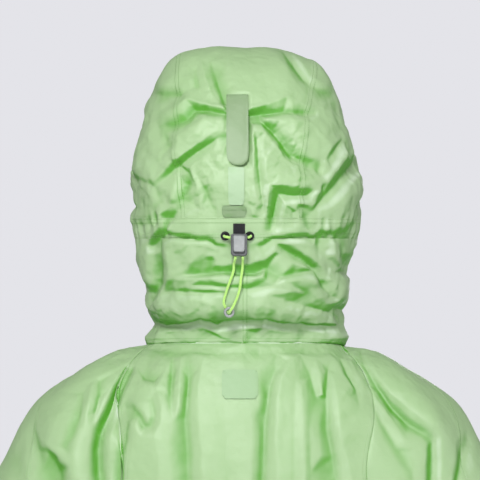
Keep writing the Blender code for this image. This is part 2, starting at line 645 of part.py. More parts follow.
def side_panel(side):
    """Grid of a hood side: each row is an arch from the face opening's corner to the centre panel."""
    columns = neck_azimuths()[CENTRE_PANEL_COLUMNS : FACE_EDGE_COLUMN + 1][::-1]
    level = _level_directions(columns, side)
    share = (columns[0] - columns) / (columns[0] - columns[-1])
    seam = unit(dome_line(panel_half(HOOD_ANGLES, side), HOOD_ANGLES, side) - DOME_MIDDLE)
    rows = []
    first_arch = arch(level[0], seam[0], share)
    for angle, end in zip(HOOD_ANGLES, seam):
        fade = float(1 - smooth_step(0, 50, angle))
        directions = arch(level[0], end, share) + fade * (level - first_arch)
        rows.append(on_dome(directions, side))
    return np.array(rows)


def arch(first, last, share):
    """Directions on the great circle from first to last."""
    angle = math.acos(float(np.clip(np.dot(first, last), -1, 1)))
    share = share[:, None]
    return (np.sin((1 - share) * angle) * first + np.sin(share * angle) * last) / math.sin(angle)


def neck_half(side):
    """Grid of the lower hood, rows from the neck seam up, columns from the centre back to the zip."""
    columns = neck_azimuths()
    bottom = neck_seam(columns, side)
    top = cover_edge_height(columns)
    rows = []
    for share in NECK_ROWS:
        heights = bottom[:, 2] + (top - bottom[:, 2]) * share
        row = lower_hood(columns, heights, side)
        rows.append(row if share else bottom)
    grid = np.array(rows)
    grid[:, -1, 0] = side * ZIP_HALF
    return grid


def channel_band():
    """Grid of the drawcord channel, rows upwards, with its gathers; both edges lie on the hood's columns."""
    columns = neck_azimuths()[: FACE_EDGE_COLUMN + 1]
    halves = []
    for gather in GATHERS:
        fine = gather_azimuths(gather, columns)
        bottom = chords(fine, columns, lower_hood(columns, CHANNEL_BOTTOM, gather.side))
        top = chords(fine, columns, lower_hood(columns, CHANNEL_TOP, gather.side))
        wave = gather_wave(gather, fine)
        height = (CHANNEL_BOTTOM + CHANNEL_TOP) / 2
        middle = lower_hood(fine, height, gather.side)
        away = unit(middle - np.array((0, HEAD_AXIS_Y, height)))
        middle += away * (CHANNEL_STAND_OUT + wave)[:, None]
        halves.append(np.array([bottom, middle, top]))
    return np.concatenate([halves[1][:, :0:-1], halves[0]], axis=1)


def gather_azimuths(gather, columns):
    """The hood's columns, with more between them where the cloth is gathered."""
    steps = gather.count * CHANNEL_STEPS_PER_GATHER
    waves = np.linspace(gather.start, gather.end, steps + 1)
    merged = np.sort(np.concatenate([columns, waves]))
    keep = [merged[0]]
    for azimuth in merged[1:]:
        if azimuth - keep[-1] > 0.6 or azimuth in columns:
            if azimuth in columns and azimuth - keep[-1] <= 0.6 and keep[-1] not in columns:
                keep[-1] = azimuth
            elif azimuth > keep[-1]:
                keep.append(azimuth)
    return np.array(keep)


def gather_wave(gather, azimuth):
    """Height of the gathers at each azimuth, dying out at both ends."""
    share = (azimuth - gather.start) / (gather.end - gather.start)
    fade = smooth_step(0, 0.15, share) * (1 - smooth_step(0.9, 1.0, share))
    return gather.height * fade * np.sin(2 * math.pi * gather.count * share)


def chords(azimuth, columns, corners):
    """Points on the straight chords between the corners at some columns."""
    return np.stack([np.interp(azimuth, columns, corners[:, axis]) for axis in range(3)], axis=-1)


# ================================================================ folds
VIEW_AXES = {
    "back": ((0, 2), (0.0, 1.0, 0.0)),
    "front": ((0, 2), (0.0, -1.0, 0.0)),
    "left": ((1, 2), (1.0, 0.0, 0.0)),
    "right": ((1, 2), (-1.0, 0.0, 0.0)),
}


def fold_height(points, normals, folds):
    """How far each point is pushed out along its normal by a table of folds."""
    height = np.zeros(points.shape[:-1])
    for fold in folds:
        axes, facing = VIEW_AXES[fold.view]
        seen = smooth_step(0.12, 0.6, normals @ np.array(facing))
        flat = points[..., axes]
        line = np.array(fold.line, float)
        lengths = np.linalg.norm(np.diff(line, axis=0), axis=1)
        run = np.concatenate([[0], np.cumsum(lengths)]) / lengths.sum()
        nearest = np.full(height.shape, np.inf)
        place = np.zeros(height.shape)
        for i, length in enumerate(lengths):
            step = (line[i + 1] - line[i]) / length
            reach = np.clip((flat - line[i]) @ step, 0, length)
            distance = np.linalg.norm(flat - line[i] - reach[..., None] * step, axis=-1)
            closer = distance < nearest
            nearest = np.where(closer, distance, nearest)
            place = np.where(closer, run[i] + (run[i + 1] - run[i]) * reach / length, place)
        taper = smooth_step(0, 0.3, place) * (1 - smooth_step(0.7, 1, place))
        flank = np.clip(1 - nearest / fold.reach, 0, 1) ** 1.5
        height += fold.depth * seen * flank * (0.25 + 0.75 * taper)
    return height


# ================================================================ walls
class Cloth:
    """All cloth pieces as grids of outer points, so that pieces sewn together share their edges."""

    def __init__(self):
        self.grids = {}
        self.turns = {}
        self.folds = {}
        self.still = {}

    def add(self, name, grid, turn, folds, still):
        """Take in a piece. turn is 1 where its columns, crossed with its rows, point out, or else -1.
        still holds, for each row or point, 0 where folds are held by a seam and 1 where they are free.
        """
        self.grids[name] = grid
        self.turns[name] = turn
        self.folds[name] = folds
        self.still[name] = np.broadcast_to(still, grid.shape[:2])

    def normals(self):
        """Outward normals of every grid, shared where two pieces meet smoothly."""
        normals = {name: grid_normals(grid, self.turns[name]) for name, grid in self.grids.items()}
        meeting = {}
        for name, grid in self.grids.items():
            for index in border(grid.shape):
                key = tuple(np.round(grid[index] / 0.05).astype(int))
                meeting.setdefault(key, []).append((name, index))
        shared = {name: normal.copy() for name, normal in normals.items()}
        for places in meeting.values():
            vectors = [normals[name][index] for name, index in places]
            for (name, index), vector in zip(places, vectors):
                alike = [other for other in vectors if np.dot(other, vector) > 0.2]
                shared[name][index] = unit(np.sum(alike, axis=0))
        return shared

    def press_folds(self):
        """Push every grid by its folds."""
        normals = self.normals()
        for name, grid in self.grids.items():
            height = fold_height(grid, normals[name], self.folds[name]) * self.still[name]
            self.grids[name] = grid + normals[name] * height[..., None]


def level_normals(height, side):
    """Level outward normals of the hood's ring at each of its columns, at one height."""
    ring = lower_hood(neck_azimuths()[: FACE_EDGE_COLUMN + 1], height, side)
    run = np.gradient(ring, axis=0)
    run[0] = (side, 0, 0)
    return unit(np.stack([-side * run[:, 1], side * run[:, 0], np.zeros(len(run))], axis=-1))


def level_channel(normals):
    """Turn the normals level along both edges of the channel, so that the walls meet edge to edge."""
    columns = neck_azimuths()[: FACE_EDGE_COLUMN + 1]
    centre, bands = {}, {}
    for gather in GATHERS:
        side, word = gather.side, "left" if gather.side > 0 else "right"
        bottom, top = level_normals(CHANNEL_BOTTOM, side), level_normals(CHANNEL_TOP, side)
        normals[f"hood_neck_{word}"][-1, : FACE_EDGE_COLUMN + 1] = bottom
        normals[f"hood_side_{word}"][0] = top[CENTRE_PANEL_COLUMNS:][::-1]
        centre[side] = top[: CENTRE_PANEL_COLUMNS + 1]
        fine = gather_azimuths(gather, columns)
        bands[side] = [unit(chords(fine, columns, level)) for level in (bottom, top)]
    normals["hood_centre"][0] = np.concatenate([centre[-1][:0:-1], centre[1]])
    for row, index in ((0, 0), (-1, 1)):
        normals["hood_channel"][row] = np.concatenate([bands[-1][index][:0:-1], bands[1][index]])


def grid_normals(grid, turn):
    """Outward normals of a grid: at each point, those of the cells round it, by their area."""
    first = grid[1:, 1:] - grid[:-1, :-1]
    second = grid[:-1, 1:] - grid[1:, :-1]
    cells = np.cross(second, first)
    normals = np.zeros_like(grid)
    for rows in (slice(0, -1), slice(1, None)):
        for cols in (slice(0, -1), slice(1, None)):
            normals[rows, cols] += cells
    return unit(normals) * turn


def border(shape):
    """Indices of a grid's outermost points."""
    rows, cols = shape[:2]
    for row in range(rows):
        for col in range(cols):
            if row in (0, rows - 1) or col in (0, cols - 1):
                yield row, col


def draw_in(grid, amount):
    """Move a grid's edges inwards along the cloth by amount."""
    grid = grid.copy()
    source = grid.copy()
    grid[0] += unit(source[1] - source[0]) * amount
    grid[-1] += unit(source[-2] - source[-1]) * amount
    grid[:, 0] += unit(source[:, 1] - source[:, 0]) * amount
    grid[:, -1] += unit(source[:, -2] - source[:, -1]) * amount
    return grid


def wall(name, grid, normals, colour, thick=WALL, weld=0.0):
    """Closed solid with the grid as its outer side and a second one a wall thickness inside it."""
    outer = draw_in(grid, SEAM_GAP / 2)
    inner = outer - normals * thick
    rows, cols = grid.shape[:2]
    mesh = bmesh.new()
    sheets = []
    for sheet in (outer, inner):
        sheets.append([[mesh.verts.new(sheet[r, c] * MM) for c in range(cols)] for r in range(rows)])
    for vertices in sheets:
        for r in range(rows - 1):
            for c in range(cols - 1):
                mesh.faces.new(
                    (vertices[r][c], vertices[r][c + 1], vertices[r + 1][c + 1], vertices[r + 1][c])
                )
    rim = [(0, c) for c in range(cols)] + [(r, cols - 1) for r in range(1, rows)]
    rim += [(rows - 1, c) for c in range(cols - 2, -1, -1)] + [(r, 0) for r in range(rows - 2, 0, -1)]
    for (r, c), (r2, c2) in zip(rim, rim[1:] + rim[:1]):
        mesh.faces.new((sheets[0][r][c], sheets[0][r2][c2], sheets[1][r2][c2], sheets[1][r][c]))
    if weld:
        bmesh.ops.remove_doubles(mesh, verts=mesh.verts, dist=weld * MM)
    bmesh.ops.triangulate(mesh, faces=mesh.faces)
    return finish(name, mesh, colour)


# ================================================================ objects
def material(name, colour, roughness, metallic=0.0):
    """Principled material in one colour."""
    made = bpy.data.materials.new(name)
    made.use_nodes = True
    shader = made.node_tree.nodes["Principled BSDF"]
    shader.inputs["Base Color"].default_value = colour
    shader.inputs["Roughness"].default_value = roughness
    shader.inputs["Metallic"].default_value = metallic
    return made


def finish(name, mesh, colour, roughness=0.45):
    """Turn a bmesh into a named object with its own material."""
    bmesh.ops.recalc_face_normals(mesh, faces=mesh.faces)
    data = bpy.data.meshes.new(name)
    mesh.to_mesh(data)
    mesh.free()
    data.shade_smooth()
    data.set_sharp_from_angle(angle=math.radians(50))
    made = bpy.data.objects.new(name, data)
    bpy.context.scene.collection.objects.link(made)
    data.materials.append(material(name, colour, roughness))
    return made


def surface_tree(objects):
    """Search tree over some finished pieces, in millimetres."""
    vertices, faces = [], []
    for made in objects:
        offset = len(vertices)
        vertices.extend(vertex.co / MM for vertex in made.data.vertices)
        faces.extend([offset + index for index in face.vertices] for face in made.data.polygons)
    return BVHTree.FromPolygons(vertices, faces)


def back_y(tree, x, z, spread=0.0):
    """How far back the cloth stands at x and z, or the furthest of it within spread."""
    found = []
    for dx, dz in ((0, 0), (spread, 0), (-spread, 0), (0, spread), (0, -spread)):
        hit = tree.ray_cast(Vector((x + dx, 400, z + dz)), Vector((0, -1, 0)))[0]
        if hit is not None:
            found.append(hit.y)
    return max(found)


def strip_outline_half(strip, drop):
    """Half width of a strip at a distance below its top: straight, then rounded at the foot."""
    left = strip.length - drop
    if left >= strip.corner:
        return strip.half_width
    rise = strip.corner - left
    return strip.half_width - strip.corner + math.sqrt(max(strip.corner**2 - rise**2, 0.0))


def sewn_strip(strip, tree, rows, cols, stand_off):
    """Flat piece that follows the cloth under it; stand_off(row share, side share) lifts it further."""
    drops = [strip.length * i / rows for i in range(rows)]
    drops += [strip.length - strip.corner * f for f in (0.45, 0.15, 0.0) if strip.corner > 2]
    drops = sorted(set(drops + [strip.length]))
    grid = []
    for drop in drops:
        half = max(strip_outline_half(strip, drop), strip.half_width * 0.3)
        row = []
        for i in range(cols + 1):
            side = 1 - 2 * i / cols
            x = strip.x + half * side
            z = strip.z - drop
            row.append((x, back_y(tree, x, z) + stand_off(drop / strip.length, side), z))
        grid.append(row)
    grid = np.array(grid, float)
    grid[..., 1] += SEAT_GAP + strip.thick - lowest_gap(grid, tree)
    return wall(strip.name, grid, np.broadcast_to((0.0, 1.0, 0.0), grid.shape), strip.colour, strip.thick)


def lowest_gap(grid, tree, steps=5):
    """Smallest distance, straight back, between the cells of a grid and the cloth."""
    gaps = []
    for down in np.linspace(0, 1, steps, endpoint=False):
        for across in np.linspace(0, 1, steps, endpoint=False):
            upper = grid[:-1, :-1] * (1 - across) + grid[:-1, 1:] * across
            lower = grid[1:, :-1] * (1 - across) + grid[1:, 1:] * across
            for x, y, z in (upper * (1 - down) + lower * down).reshape(-1, 3):
                gaps.append(y - back_y(tree, x, z))
    return min(gaps)


def rounded_outline(half_width, top, bottom, top_round, foot_round, steps=4):
    """Outline of a rounded block in x and z, going round once."""
    corners = (
        (half_width - foot_round, bottom + foot_round, foot_round, -90),
        (half_width - top_round, top - top_round, top_round, 0),
        (-half_width + top_round, top - top_round, top_round, 90),
        (-half_width + foot_round, bottom + foot_round, foot_round, 180),
    )
    outline = []
    for x, z, radius, start in corners:
        for i in range(steps + 1):
            angle = math.radians(start + 90 * i / steps)
            outline.append((x + radius * math.cos(angle), z + radius * math.sin(angle)))
    return outline


def layered_block(name, outline, layers, colour, centre, tilt=0.0, roughness=0.4):
    """Solid through scaled copies of one outline; layers are (y, inset) from its inner to its outer side."""
    mesh = bmesh.new()
    rings = []
    for y, inset in layers:
        ring = []
        for x, z in outline:
            length = max(math.hypot(x, z), 1e-6)
            scale = 1 - inset / length
            ring.append(mesh.verts.new(place(centre, x * scale, y, z * scale, tilt)))
        rings.append(ring)
    for low, high in zip(rings[:-1], rings[1:]):
        for i in range(len(outline)):
            j = (i + 1) % len(outline)
            mesh.faces.new((low[i], low[j], high[j], high[i]))
    mesh.faces.new(rings[0])
    mesh.faces.new(rings[-1])
    return finish(name, mesh, colour, roughness)


def place(centre, x, y, z, tilt):
    """A block's own x, y, z set at its centre and leant back by tilt degrees, in metres."""
    lean = math.radians(tilt)
    return (
        (centre[0] + x) * MM,
        (centre[1] + y * math.cos(lean) - z * math.sin(lean)) * MM,
        (centre[2] + y * math.sin(lean) + z * math.cos(lean)) * MM,
    )


def washer(name, centre, outer, inner, thick, colour, steps=18):
    """Flat ring that faces the back."""
    mesh = bmesh.new()
    rings = []
    for radius, y in ((outer, 0), (outer, thick), (inner, thick), (inner, 0)):
        ring = []
        for i in range(steps):
            angle = 2 * math.pi * i / steps
            x = centre[0] + radius * math.cos(angle)
            z = centre[2] + radius * math.sin(angle)
            ring.append(mesh.verts.new((x * MM, (centre[1] + y) * MM, z * MM)))
        rings.append(ring)
    for a, b in zip(rings, rings[1:] + rings[:1]):
        for i in range(steps):
            j = (i + 1) % steps
            mesh.faces.new((a[i], a[j], b[j], b[i]))
    return finish(name, mesh, colour)


def torus(name, centre, major, minor, colour, around=18, section_steps=7):
    """Ring with a round section that faces the back."""
    mesh = bmesh.new()
    rings = []
    for i in range(around):
        turn = 2 * math.pi * i / around
        ring = []
        for k in range(section_steps):
            angle = 2 * math.pi * k / section_steps
            radius = major + minor * math.cos(angle)
            x = centre[0] + radius * math.cos(turn)
            y = centre[1] + minor * math.sin(angle)
            z = centre[2] + radius * math.sin(turn)
            ring.append(mesh.verts.new((x * MM, y * MM, z * MM)))
        rings.append(ring)
    for i in range(around):
        a, b = rings[i], rings[(i + 1) % around]
        for k in range(section_steps):
            j = (k + 1) % section_steps
            mesh.faces.new((a[k], a[j], b[j], b[k]))
    return finish(name, mesh, colour)


def cord(name, route, diameter, colour):
    """Round cord through points in millimetres, with closed ends."""
    curve = bpy.data.curves.new(name, "CURVE")
    curve.dimensions = "3D"
    curve.bevel_depth = diameter / 2 * MM
    curve.bevel_resolution = 2
    curve.use_fill_caps = True
    spline = curve.splines.new("POLY")
    spline.points.add(len(route) - 1)
    for point, (x, y, z) in zip(spline.points, route):
        point.co = (x * MM, y * MM, z * MM, 1.0)
    curve.materials.append(material(name, colour, 0.6))
    made = bpy.data.objects.new(name, curve)
    bpy.context.scene.collection.objects.link(made)
    return made


def even_route(points, spacing):
    """Points an even distance apart on a smooth curve through the given ones."""
    points = np.array(points, float)
    knots = np.concatenate([[0], np.cumsum(np.linalg.norm(np.diff(points, axis=0), axis=1))])
    fine = cubic(knots, points, np.linspace(0, knots[-1], 400))
    travelled = np.concatenate([[0], np.cumsum(np.linalg.norm(np.diff(fine, axis=0), axis=1))])
    count = max(int(round(travelled[-1] / spacing)), 2)
    at = np.linspace(0, travelled[-1], count + 1)
    return [tuple(np.interp(value, travelled, fine[:, axis]) for axis in range(3)) for value in at]


# ================================================================ the jacket
def clear_scene():
    """Start from an empty scene."""
    for existing in list(bpy.data.objects):
        bpy.data.objects.remove(existing, do_unlink=True)


def seam_hold(stations):
    """Folds of the body fade to nothing at the neck seam."""
    return smooth_step(0, 1.2, stations)[:, None]


def build_cloth():
    """Every piece of the shell, by name."""
    cloth = Cloth()
    torso_stations = np.concatenate([UPPER_ROWS, TORSO_ROWS[1:]])
    sleeve_stations = np.concatenate([UPPER_ROWS, SLEEVE_ROWS[1:]])
    backs = {}
    for side, word in ((1, "left"), (-1, "right")):
        backs[side], front = torso_half(torso_stations, side)
        cloth.add(f"front_{word}", front, side, BODY_FOLDS, seam_hold(torso_stations))
        sleeve_back, sleeve_front = sleeve_half(sleeve_stations, side)
        folds = BODY_FOLDS + mirrored_folds(SLEEVE_FOLDS, side)
        cloth.add(f"sleeve_back_{word}", sleeve_back, side, folds, seam_hold(sleeve_stations))
        cloth.add(f"sleeve_front_{word}", sleeve_front, side, folds, seam_hold(sleeve_stations))
        cloth.add(f"hood_neck_{word}", neck_half(side), -side, NECK_FOLDS, neck_hold())
        cloth.add(f"hood_side_{word}", side_panel(side), side, HOOD_FOLDS, hood_hold())
    back = np.concatenate([backs[-1][:, :0:-1], backs[1]], axis=1)
    cloth.add("back", back, 1, BODY_FOLDS, seam_hold(torso_stations))
    cloth.add("hood_centre", centre_panel(), -1, HOOD_FOLDS, hood_hold())
    cloth.add("hood_channel", channel_band(), -1, (), 1.0)
    return cloth


def neck_hold():
    """Folds of the lower hood fade out at the neck seam and under the channel."""
    share = np.array(NECK_ROWS)
    return (smooth_step(0, 0.12, share) * (1 - smooth_step(0.85, 1, share)))[:, None]


def hood_hold():
    """Folds of the upper hood fade out at the channel."""
    return smooth_step(0, 8, HOOD_ANGLES)[:, None]


def mirrored_folds(folds, side):
    """The same folds on one side of the body."""
    return tuple(fold._replace(line=tuple((side * x, z) for x, z in fold.line)) for fold in folds)


def build_shell(cloth, normals):
    """Give every piece of cloth its wall, and return the objects by name."""
    made = {}
    for name, grid in cloth.grids.items():
        weld = 0.4 if name.startswith("hood_side") else 0.0
        made[name] = wall(name, grid, normals[name], CLOTH_GREEN, weld=weld)
    return made


def build_trims(shell):
    """Tab, strips and patches sewn on the hood and the back."""
    hood = surface_tree([shell["hood_centre"]])
    body = surface_tree([shell["back"]])
    loop = sewn_strip(LOOP_STRIP, hood, 6, 2, lambda down, side: 0.0)
    sewn_strip(HEM_PATCH, hood, 3, 4, lambda down, side: 0.0)
    sewn_strip(BACK_PATCH, body, 4, 4, lambda down, side: 0.0)
    under = surface_tree([shell["hood_centre"], loop])
    sewn_strip(TAB, under, 9, 4, tab_stand_off)


def tab_stand_off(down, side):
    """The tab lies on the hood at its top and swings clear towards its free corner on the right."""
    return TAB_STAND_OFF * down**1.5 * (0.55 - 0.45 * side)


def build_cord_lock(shell):
    """Eyelets, webbing, the lock with its sliding plate, the cords and the ring on their end."""
    tree = surface_tree([shell["hood_channel"], shell["hood_neck_left"], shell["hood_neck_right"]])
    neck = surface_tree([shell["hood_neck_left"], shell["hood_neck_right"]])
    middle = LOCK_TOP - LOCK_HEIGHT / 2
    behind = max(back_y(tree, LOCK_X + dx, LOCK_TOP - dz) for dx in (-9, 0, 9) for dz in (-8, 0, 8, 16, 24))
    webbing_y = behind + 0.5
    build_webbing(tree, webbing_y)
    lock_y = webbing_y + WEBBING_THICK + SEAM_GAP
    centre = (LOCK_X, lock_y, middle)
    build_lock(centre)
    feed_y = lock_y + LOCK_DEPTH / 2
    for word, x in EYELET_X.items():
        seat = max(back_y(tree, x + dx, EYELET_Z + dz) for dx in (-5, 0, 5) for dz in (-5, 0, 5))
        eyelet_y = seat + SEAM_GAP
        washer(f"eyelet_{word}", (x, eyelet_y, EYELET_Z), EYELET_OUTER, EYELET_INNER, EYELET_THICK, PLASTIC_GREY)
        side = 1 if x > LOCK_X else -1
        start = (x + side * FEED_OFF_CENTRE, eyelet_y + 0.2)
        lock_face = LOCK_X + side * (LOCK_HALF_WIDTH + SEAM_GAP)
        cord(f"cord_feed_{word}", feed_route(start, lock_face, feed_y, side), CORD_DIAMETER, CORD_YELLOW)
    build_cord_loop(neck, feed_y)


def feed_route(start, lock_face, feed_y, side):
    """From an eyelet straight out, round a quarter turn and into the lock's side."""
    radius = min(abs(start[0] - lock_face) - FEED_STRAIGHT, feed_y - start[1] - FEED_STRAIGHT)
    route = [(start[0], start[1], EYELET_Z)]
    for i in range(FEED_TURN_STEPS + 1):
        angle = math.radians(90 * i / FEED_TURN_STEPS)
        x = start[0] - side * radius * (1 - math.cos(angle))
        y = feed_y - radius * (1 - math.sin(angle))
        route.append((x, y, EYELET_Z - FEED_DROP * i / FEED_TURN_STEPS))
    return route + [(lock_face, feed_y, EYELET_Z - FEED_DROP)]


def build_webbing(tree, webbing_y):
    """Flat black webbing from the channel's upper stitching down behind the lock."""
    drops = (0.0, 3.0, 6.0, 9.0, 13.0, 20.0, 27.0)
    grid = []
    for drop in drops:
        z = WEBBING_TOP - drop
        rest = max(back_y(tree, LOCK_X + dx, z, 2.0) for dx in (-7, 0, 7)) + 0.4
        share = float(smooth_step(0, 11, drop))
        y = rest + (max(webbing_y, rest) - rest) * share + WEBBING_THICK
        grid.append([(LOCK_X + WEBBING_HALF_WIDTH * side, y, z) for side in (1.0, 0.33, -0.33, -1.0)])
    grid = np.array(grid)
    wall("webbing_loop", grid, np.broadcast_to((0.0, 1.0, 0.0), grid.shape), WEBBING_BLACK, WEBBING_THICK)


def build_lock(centre):
    """The lock's body with a window in its face, and the plate that slides in it."""
    half = LOCK_HEIGHT / 2
    outline = rounded_outline(LOCK_HALF_WIDTH, half, -half, 2.6, LOCK_ROUND)
    body = layered_block(
        "lock_body", outline,
        ((0, 1.0), (1.0, 0.0), (LOCK_DEPTH - 1.4, 0.0), (LOCK_DEPTH - 0.4, 0.5), (LOCK_DEPTH, 1.4)),
        PLASTIC_GREY, centre,
    )
    top = half - 1.6
    window = rounded_outline(PLATE_HALF_WIDTH + 0.3, top, top - PLATE_HEIGHT - 0.6 - PLATE_SLOT, 1.4, 3.0)
    middle = (2 * top - PLATE_HEIGHT - 0.6 - PLATE_SLOT) / 2
    window = [(x, z - middle) for x, z in window]
    spot = (centre[0], centre[1], centre[2] + middle)
    cutter = layered_block(
        "lock_window", window, ((LOCK_DEPTH - 3.4, 0.0), (LOCK_DEPTH + 2, 0.0)), PLASTIC_GREY, spot
    )
    cutter.hide_render = True
    cutter.display_type = "WIRE"
    cut = body.modifiers.new("window", "BOOLEAN")
    cut.operation = "DIFFERENCE"
    cut.object = cutter
    plate_top = top - 0.3
    plate_middle = plate_top - PLATE_HEIGHT / 2
    plate = rounded_outline(PLATE_HALF_WIDTH, PLATE_HEIGHT / 2, -PLATE_HEIGHT / 2, 1.4, 2.6)
    depth = LOCK_DEPTH + PLATE_STAND_OUT
    layered_block(
        "lock_plate", plate, ((LOCK_DEPTH - 3.1, 0.0), (depth - 0.9, 0.0), (depth, 0.9)),
        PLASTIC_GREY, (centre[0], centre[1], centre[2] + plate_middle),
    )


# Route of the free loop from the back (x, z); clear is how far its middle stands off the cloth.
LoopPoint = namedtuple("LoopPoint", "x z clear")
LOOP_LEFT = (
    LoopPoint(8.8, 90, 4.6), LoopPoint(9.4, 82, 3.6), LoopPoint(12.4, 73, 3.0), LoopPoint(16.0, 63, 2.6),
    LoopPoint(18.8, 54, 2.4), LoopPoint(20.2, 47, 2.4),
)
LOOP_RIGHT = (
    LoopPoint(-1.0, 90, 4.6), LoopPoint(-0.4, 82, 3.8), LoopPoint(1.0, 73, 3.4), LoopPoint(2.4, 62, 3.4),
    LoopPoint(5.4, 52, 5.0),
)
# From the left strand, behind the ring's rim, out through its hole and over the rim again, from its middle.
RING_PASS = ((4.6, -3.7, 6.4), (2.6, -4.0, 2.6), (0.4, -0.6, -0.7), (-1.6, 3.4, 2.0), (-4.4, 4.2, 6.6))
LOOP_SPACING = 4.2


def build_cord_loop(tree, feed_y):
    """Loop from the lock's foot, down one strand, through the ring and up the other."""
    ring_y = back_y(tree, RING_X, RING_Z, 6.0) + RING_MINOR + 3.9
    foot = LOCK_TOP - LOCK_HEIGHT - SEAM_GAP
    left = [(7.2, feed_y, foot - 2.4)]
    left += [(p.x, back_y(tree, p.x, p.z, 3.0) + p.clear, p.z) for p in LOOP_LEFT]
    right = [(-1.2, feed_y, foot - 2.4)]
    right += [(p.x, back_y(tree, p.x, p.z, 3.0) + p.clear, p.z) for p in LOOP_RIGHT]
    torus("cord_ring", (RING_X, ring_y, RING_Z), RING_MAJOR, RING_MINOR, PLASTIC_GREY)
    through = [(RING_X + x, ring_y + y, RING_Z + z) for x, y, z in RING_PASS]
    middle = even_route(left + through + right[::-1], LOOP_SPACING)
    route = [(7.2, feed_y, foot)] + middle + [(-1.2, feed_y, foot)]
    cord("cord_loop", route, CORD_DIAMETER, CORD_YELLOW)


def zip_edge(cloth, normals, word):
    """Points down the edge of one front from the chin to the hem, with normals and the way across the cloth."""
    neck, front = cloth.grids[f"hood_neck_{word}"][::-1], cloth.grids[f"front_{word}"][1:]
    edge = np.concatenate([neck[:, -1], front[:, -1]])
    across = unit(np.concatenate([neck[:, -2] - neck[:, -1], front[:, -2] - front[:, -1]]))
    out = np.concatenate([normals[f"hood_neck_{word}"][::-1, -1], normals[f"front_{word}"][1:, -1]])
    out = unit(out - across * np.sum(out * across, axis=-1, keepdims=True))
    return edge, across, out


def build_zip(cloth, normals):
    """Two tapes under the front edges, the slider near the chin with its pull, and the box at the hem."""
    for side, word in ((1, "left"), (-1, "right")):
        edge, across, out = zip_edge(cloth, normals, word)
        under = edge - out * (WALL + ZIP_TAPE_GAP)
        rows = [under + across * (x - ZIP_HALF) for x in (SEAM_GAP / 2, ZIP_HALF, ZIP_TAPE_WIDTH)]
        rows[0][:, 0] = side * SEAM_GAP / 2
        grid = np.transpose(np.array(rows), (1, 0, 2))
        grid[0] += unit(grid[1] - grid[0]) * ZIP_END
        grid[-1] += unit(grid[-2] - grid[-1]) * ZIP_END
        lifted = np.broadcast_to(out[:, None, :], grid.shape)
        wall(f"zip_tape_{word}", grid, lifted, ZIP_GREEN, ZIP_TAPE_THICK)
    build_slider(grid[:, 0])
    build_box(grid[:, 0])


def line_y(line, z):
    """How far forward the tapes' outer side stands at a height."""
    order = np.argsort(line[:, 2])
    return float(np.interp(z, line[order, 2], line[order, 1]))


def build_slider(line):
    """Slider on the tapes, with two ears, and the pull that hinges on the pin between them."""
    low, high = line_y(line, SLIDER_Z - SLIDER_HALF_HEIGHT), line_y(line, SLIDER_Z + SLIDER_HALF_HEIGHT)
    tilt = -math.degrees(math.atan2(high - low, 2 * SLIDER_HALF_HEIGHT))
    face = (0.0, min(low, high) - SEAM_GAP - SLIDER_THICK, SLIDER_Z)
    outline = rounded_outline(SLIDER_HALF_WIDTH, SLIDER_HALF_HEIGHT, -SLIDER_HALF_HEIGHT, 2.0, 2.5, steps=3)
    body = layered_block(
        "zip_slider", outline, ((0.0, 0.7), (0.7, 0.0), (SLIDER_THICK, 0.0)), PLASTIC_GREY, face, tilt
    )
    pin = (0.0, face[1] - PIN_STAND_OUT, SLIDER_Z)
    for side in (1, -1):
        ear = ear_block(f"ear_{side}", side, pin, face[1])
        ear.hide_render = True
        ear.display_type = "WIRE"
        joined = body.modifiers.new(ear.name, "BOOLEAN")
        joined.operation = "UNION"
        joined.object = ear
    build_pull(pin)


def ear_block(name, side, pin, face_y):
    """One ear: round at the pin and square where it enters the slider."""
    outline = [(face_y + 1.2, EAR_RADIUS), (pin[1], EAR_RADIUS)]
    for i in range(1, 6):
        angle = math.radians(90 + 180 * i / 6)
        outline.append((pin[1] + EAR_RADIUS * math.cos(angle), EAR_RADIUS * math.sin(angle)))
    outline += [(pin[1], -EAR_RADIUS), (face_y + 1.2, -EAR_RADIUS)]
    return side_profile(name, outline, side * EAR_INNER, side * EAR_OUTER, pin[2])


def side_profile(name, outline, x_from, x_to, z):
    """Solid with one outline in y and z, from one x to another."""
    mesh = bmesh.new()
    ends = []
    for x in (x_from, x_to):
        ends.append([mesh.verts.new((x * MM, y * MM, (z + dz) * MM)) for y, dz in outline])
        mesh.faces.new(ends[-1])
    for i in range(len(outline)):
        j = (i + 1) % len(outline)
        mesh.faces.new((ends[0][i], ends[0][j], ends[1][j], ends[1][i]))
    return finish(name, mesh, PLASTIC_GREY)


def build_pull(pin):
    """Flat pull that hangs from its round pin."""
    outline = []
    for i in range(7):
        angle = math.radians(-30 + 240 * i / 6)
        outline.append((pin[1] + PIN_RADIUS * math.cos(angle), PIN_RADIUS * math.sin(angle)))
    half = PULL_THICK / 2
    outline += [(pin[1] - half, -PULL_LENGTH + 1), (pin[1] - half + 0.4, -PULL_LENGTH)]
    outline += [(pin[1] + half - 0.4, -PULL_LENGTH), (pin[1] + half, -PULL_LENGTH + 1)]
    side_profile("zip_pull", outline, -PULL_HALF_WIDTH, PULL_HALF_WIDTH, pin[2])


def build_box(line):
    """Box that closes the foot of the zip."""
    z = float(line[-1, 2]) + BOX_HEIGHT / 2 + 1
    face = (0.0, min(line_y(line, z - 6), line_y(line, z + 6)) - SEAM_GAP - BOX_THICK, z)
    outline = rounded_outline(BOX_HALF_WIDTH, BOX_HEIGHT / 2, -BOX_HEIGHT / 2, 1.0, 1.0, steps=2)
    layered_block("zip_box", outline, ((0.0, 0.6), (0.6, 0.0), (BOX_THICK, 0.0)), PLASTIC_GREY, face)


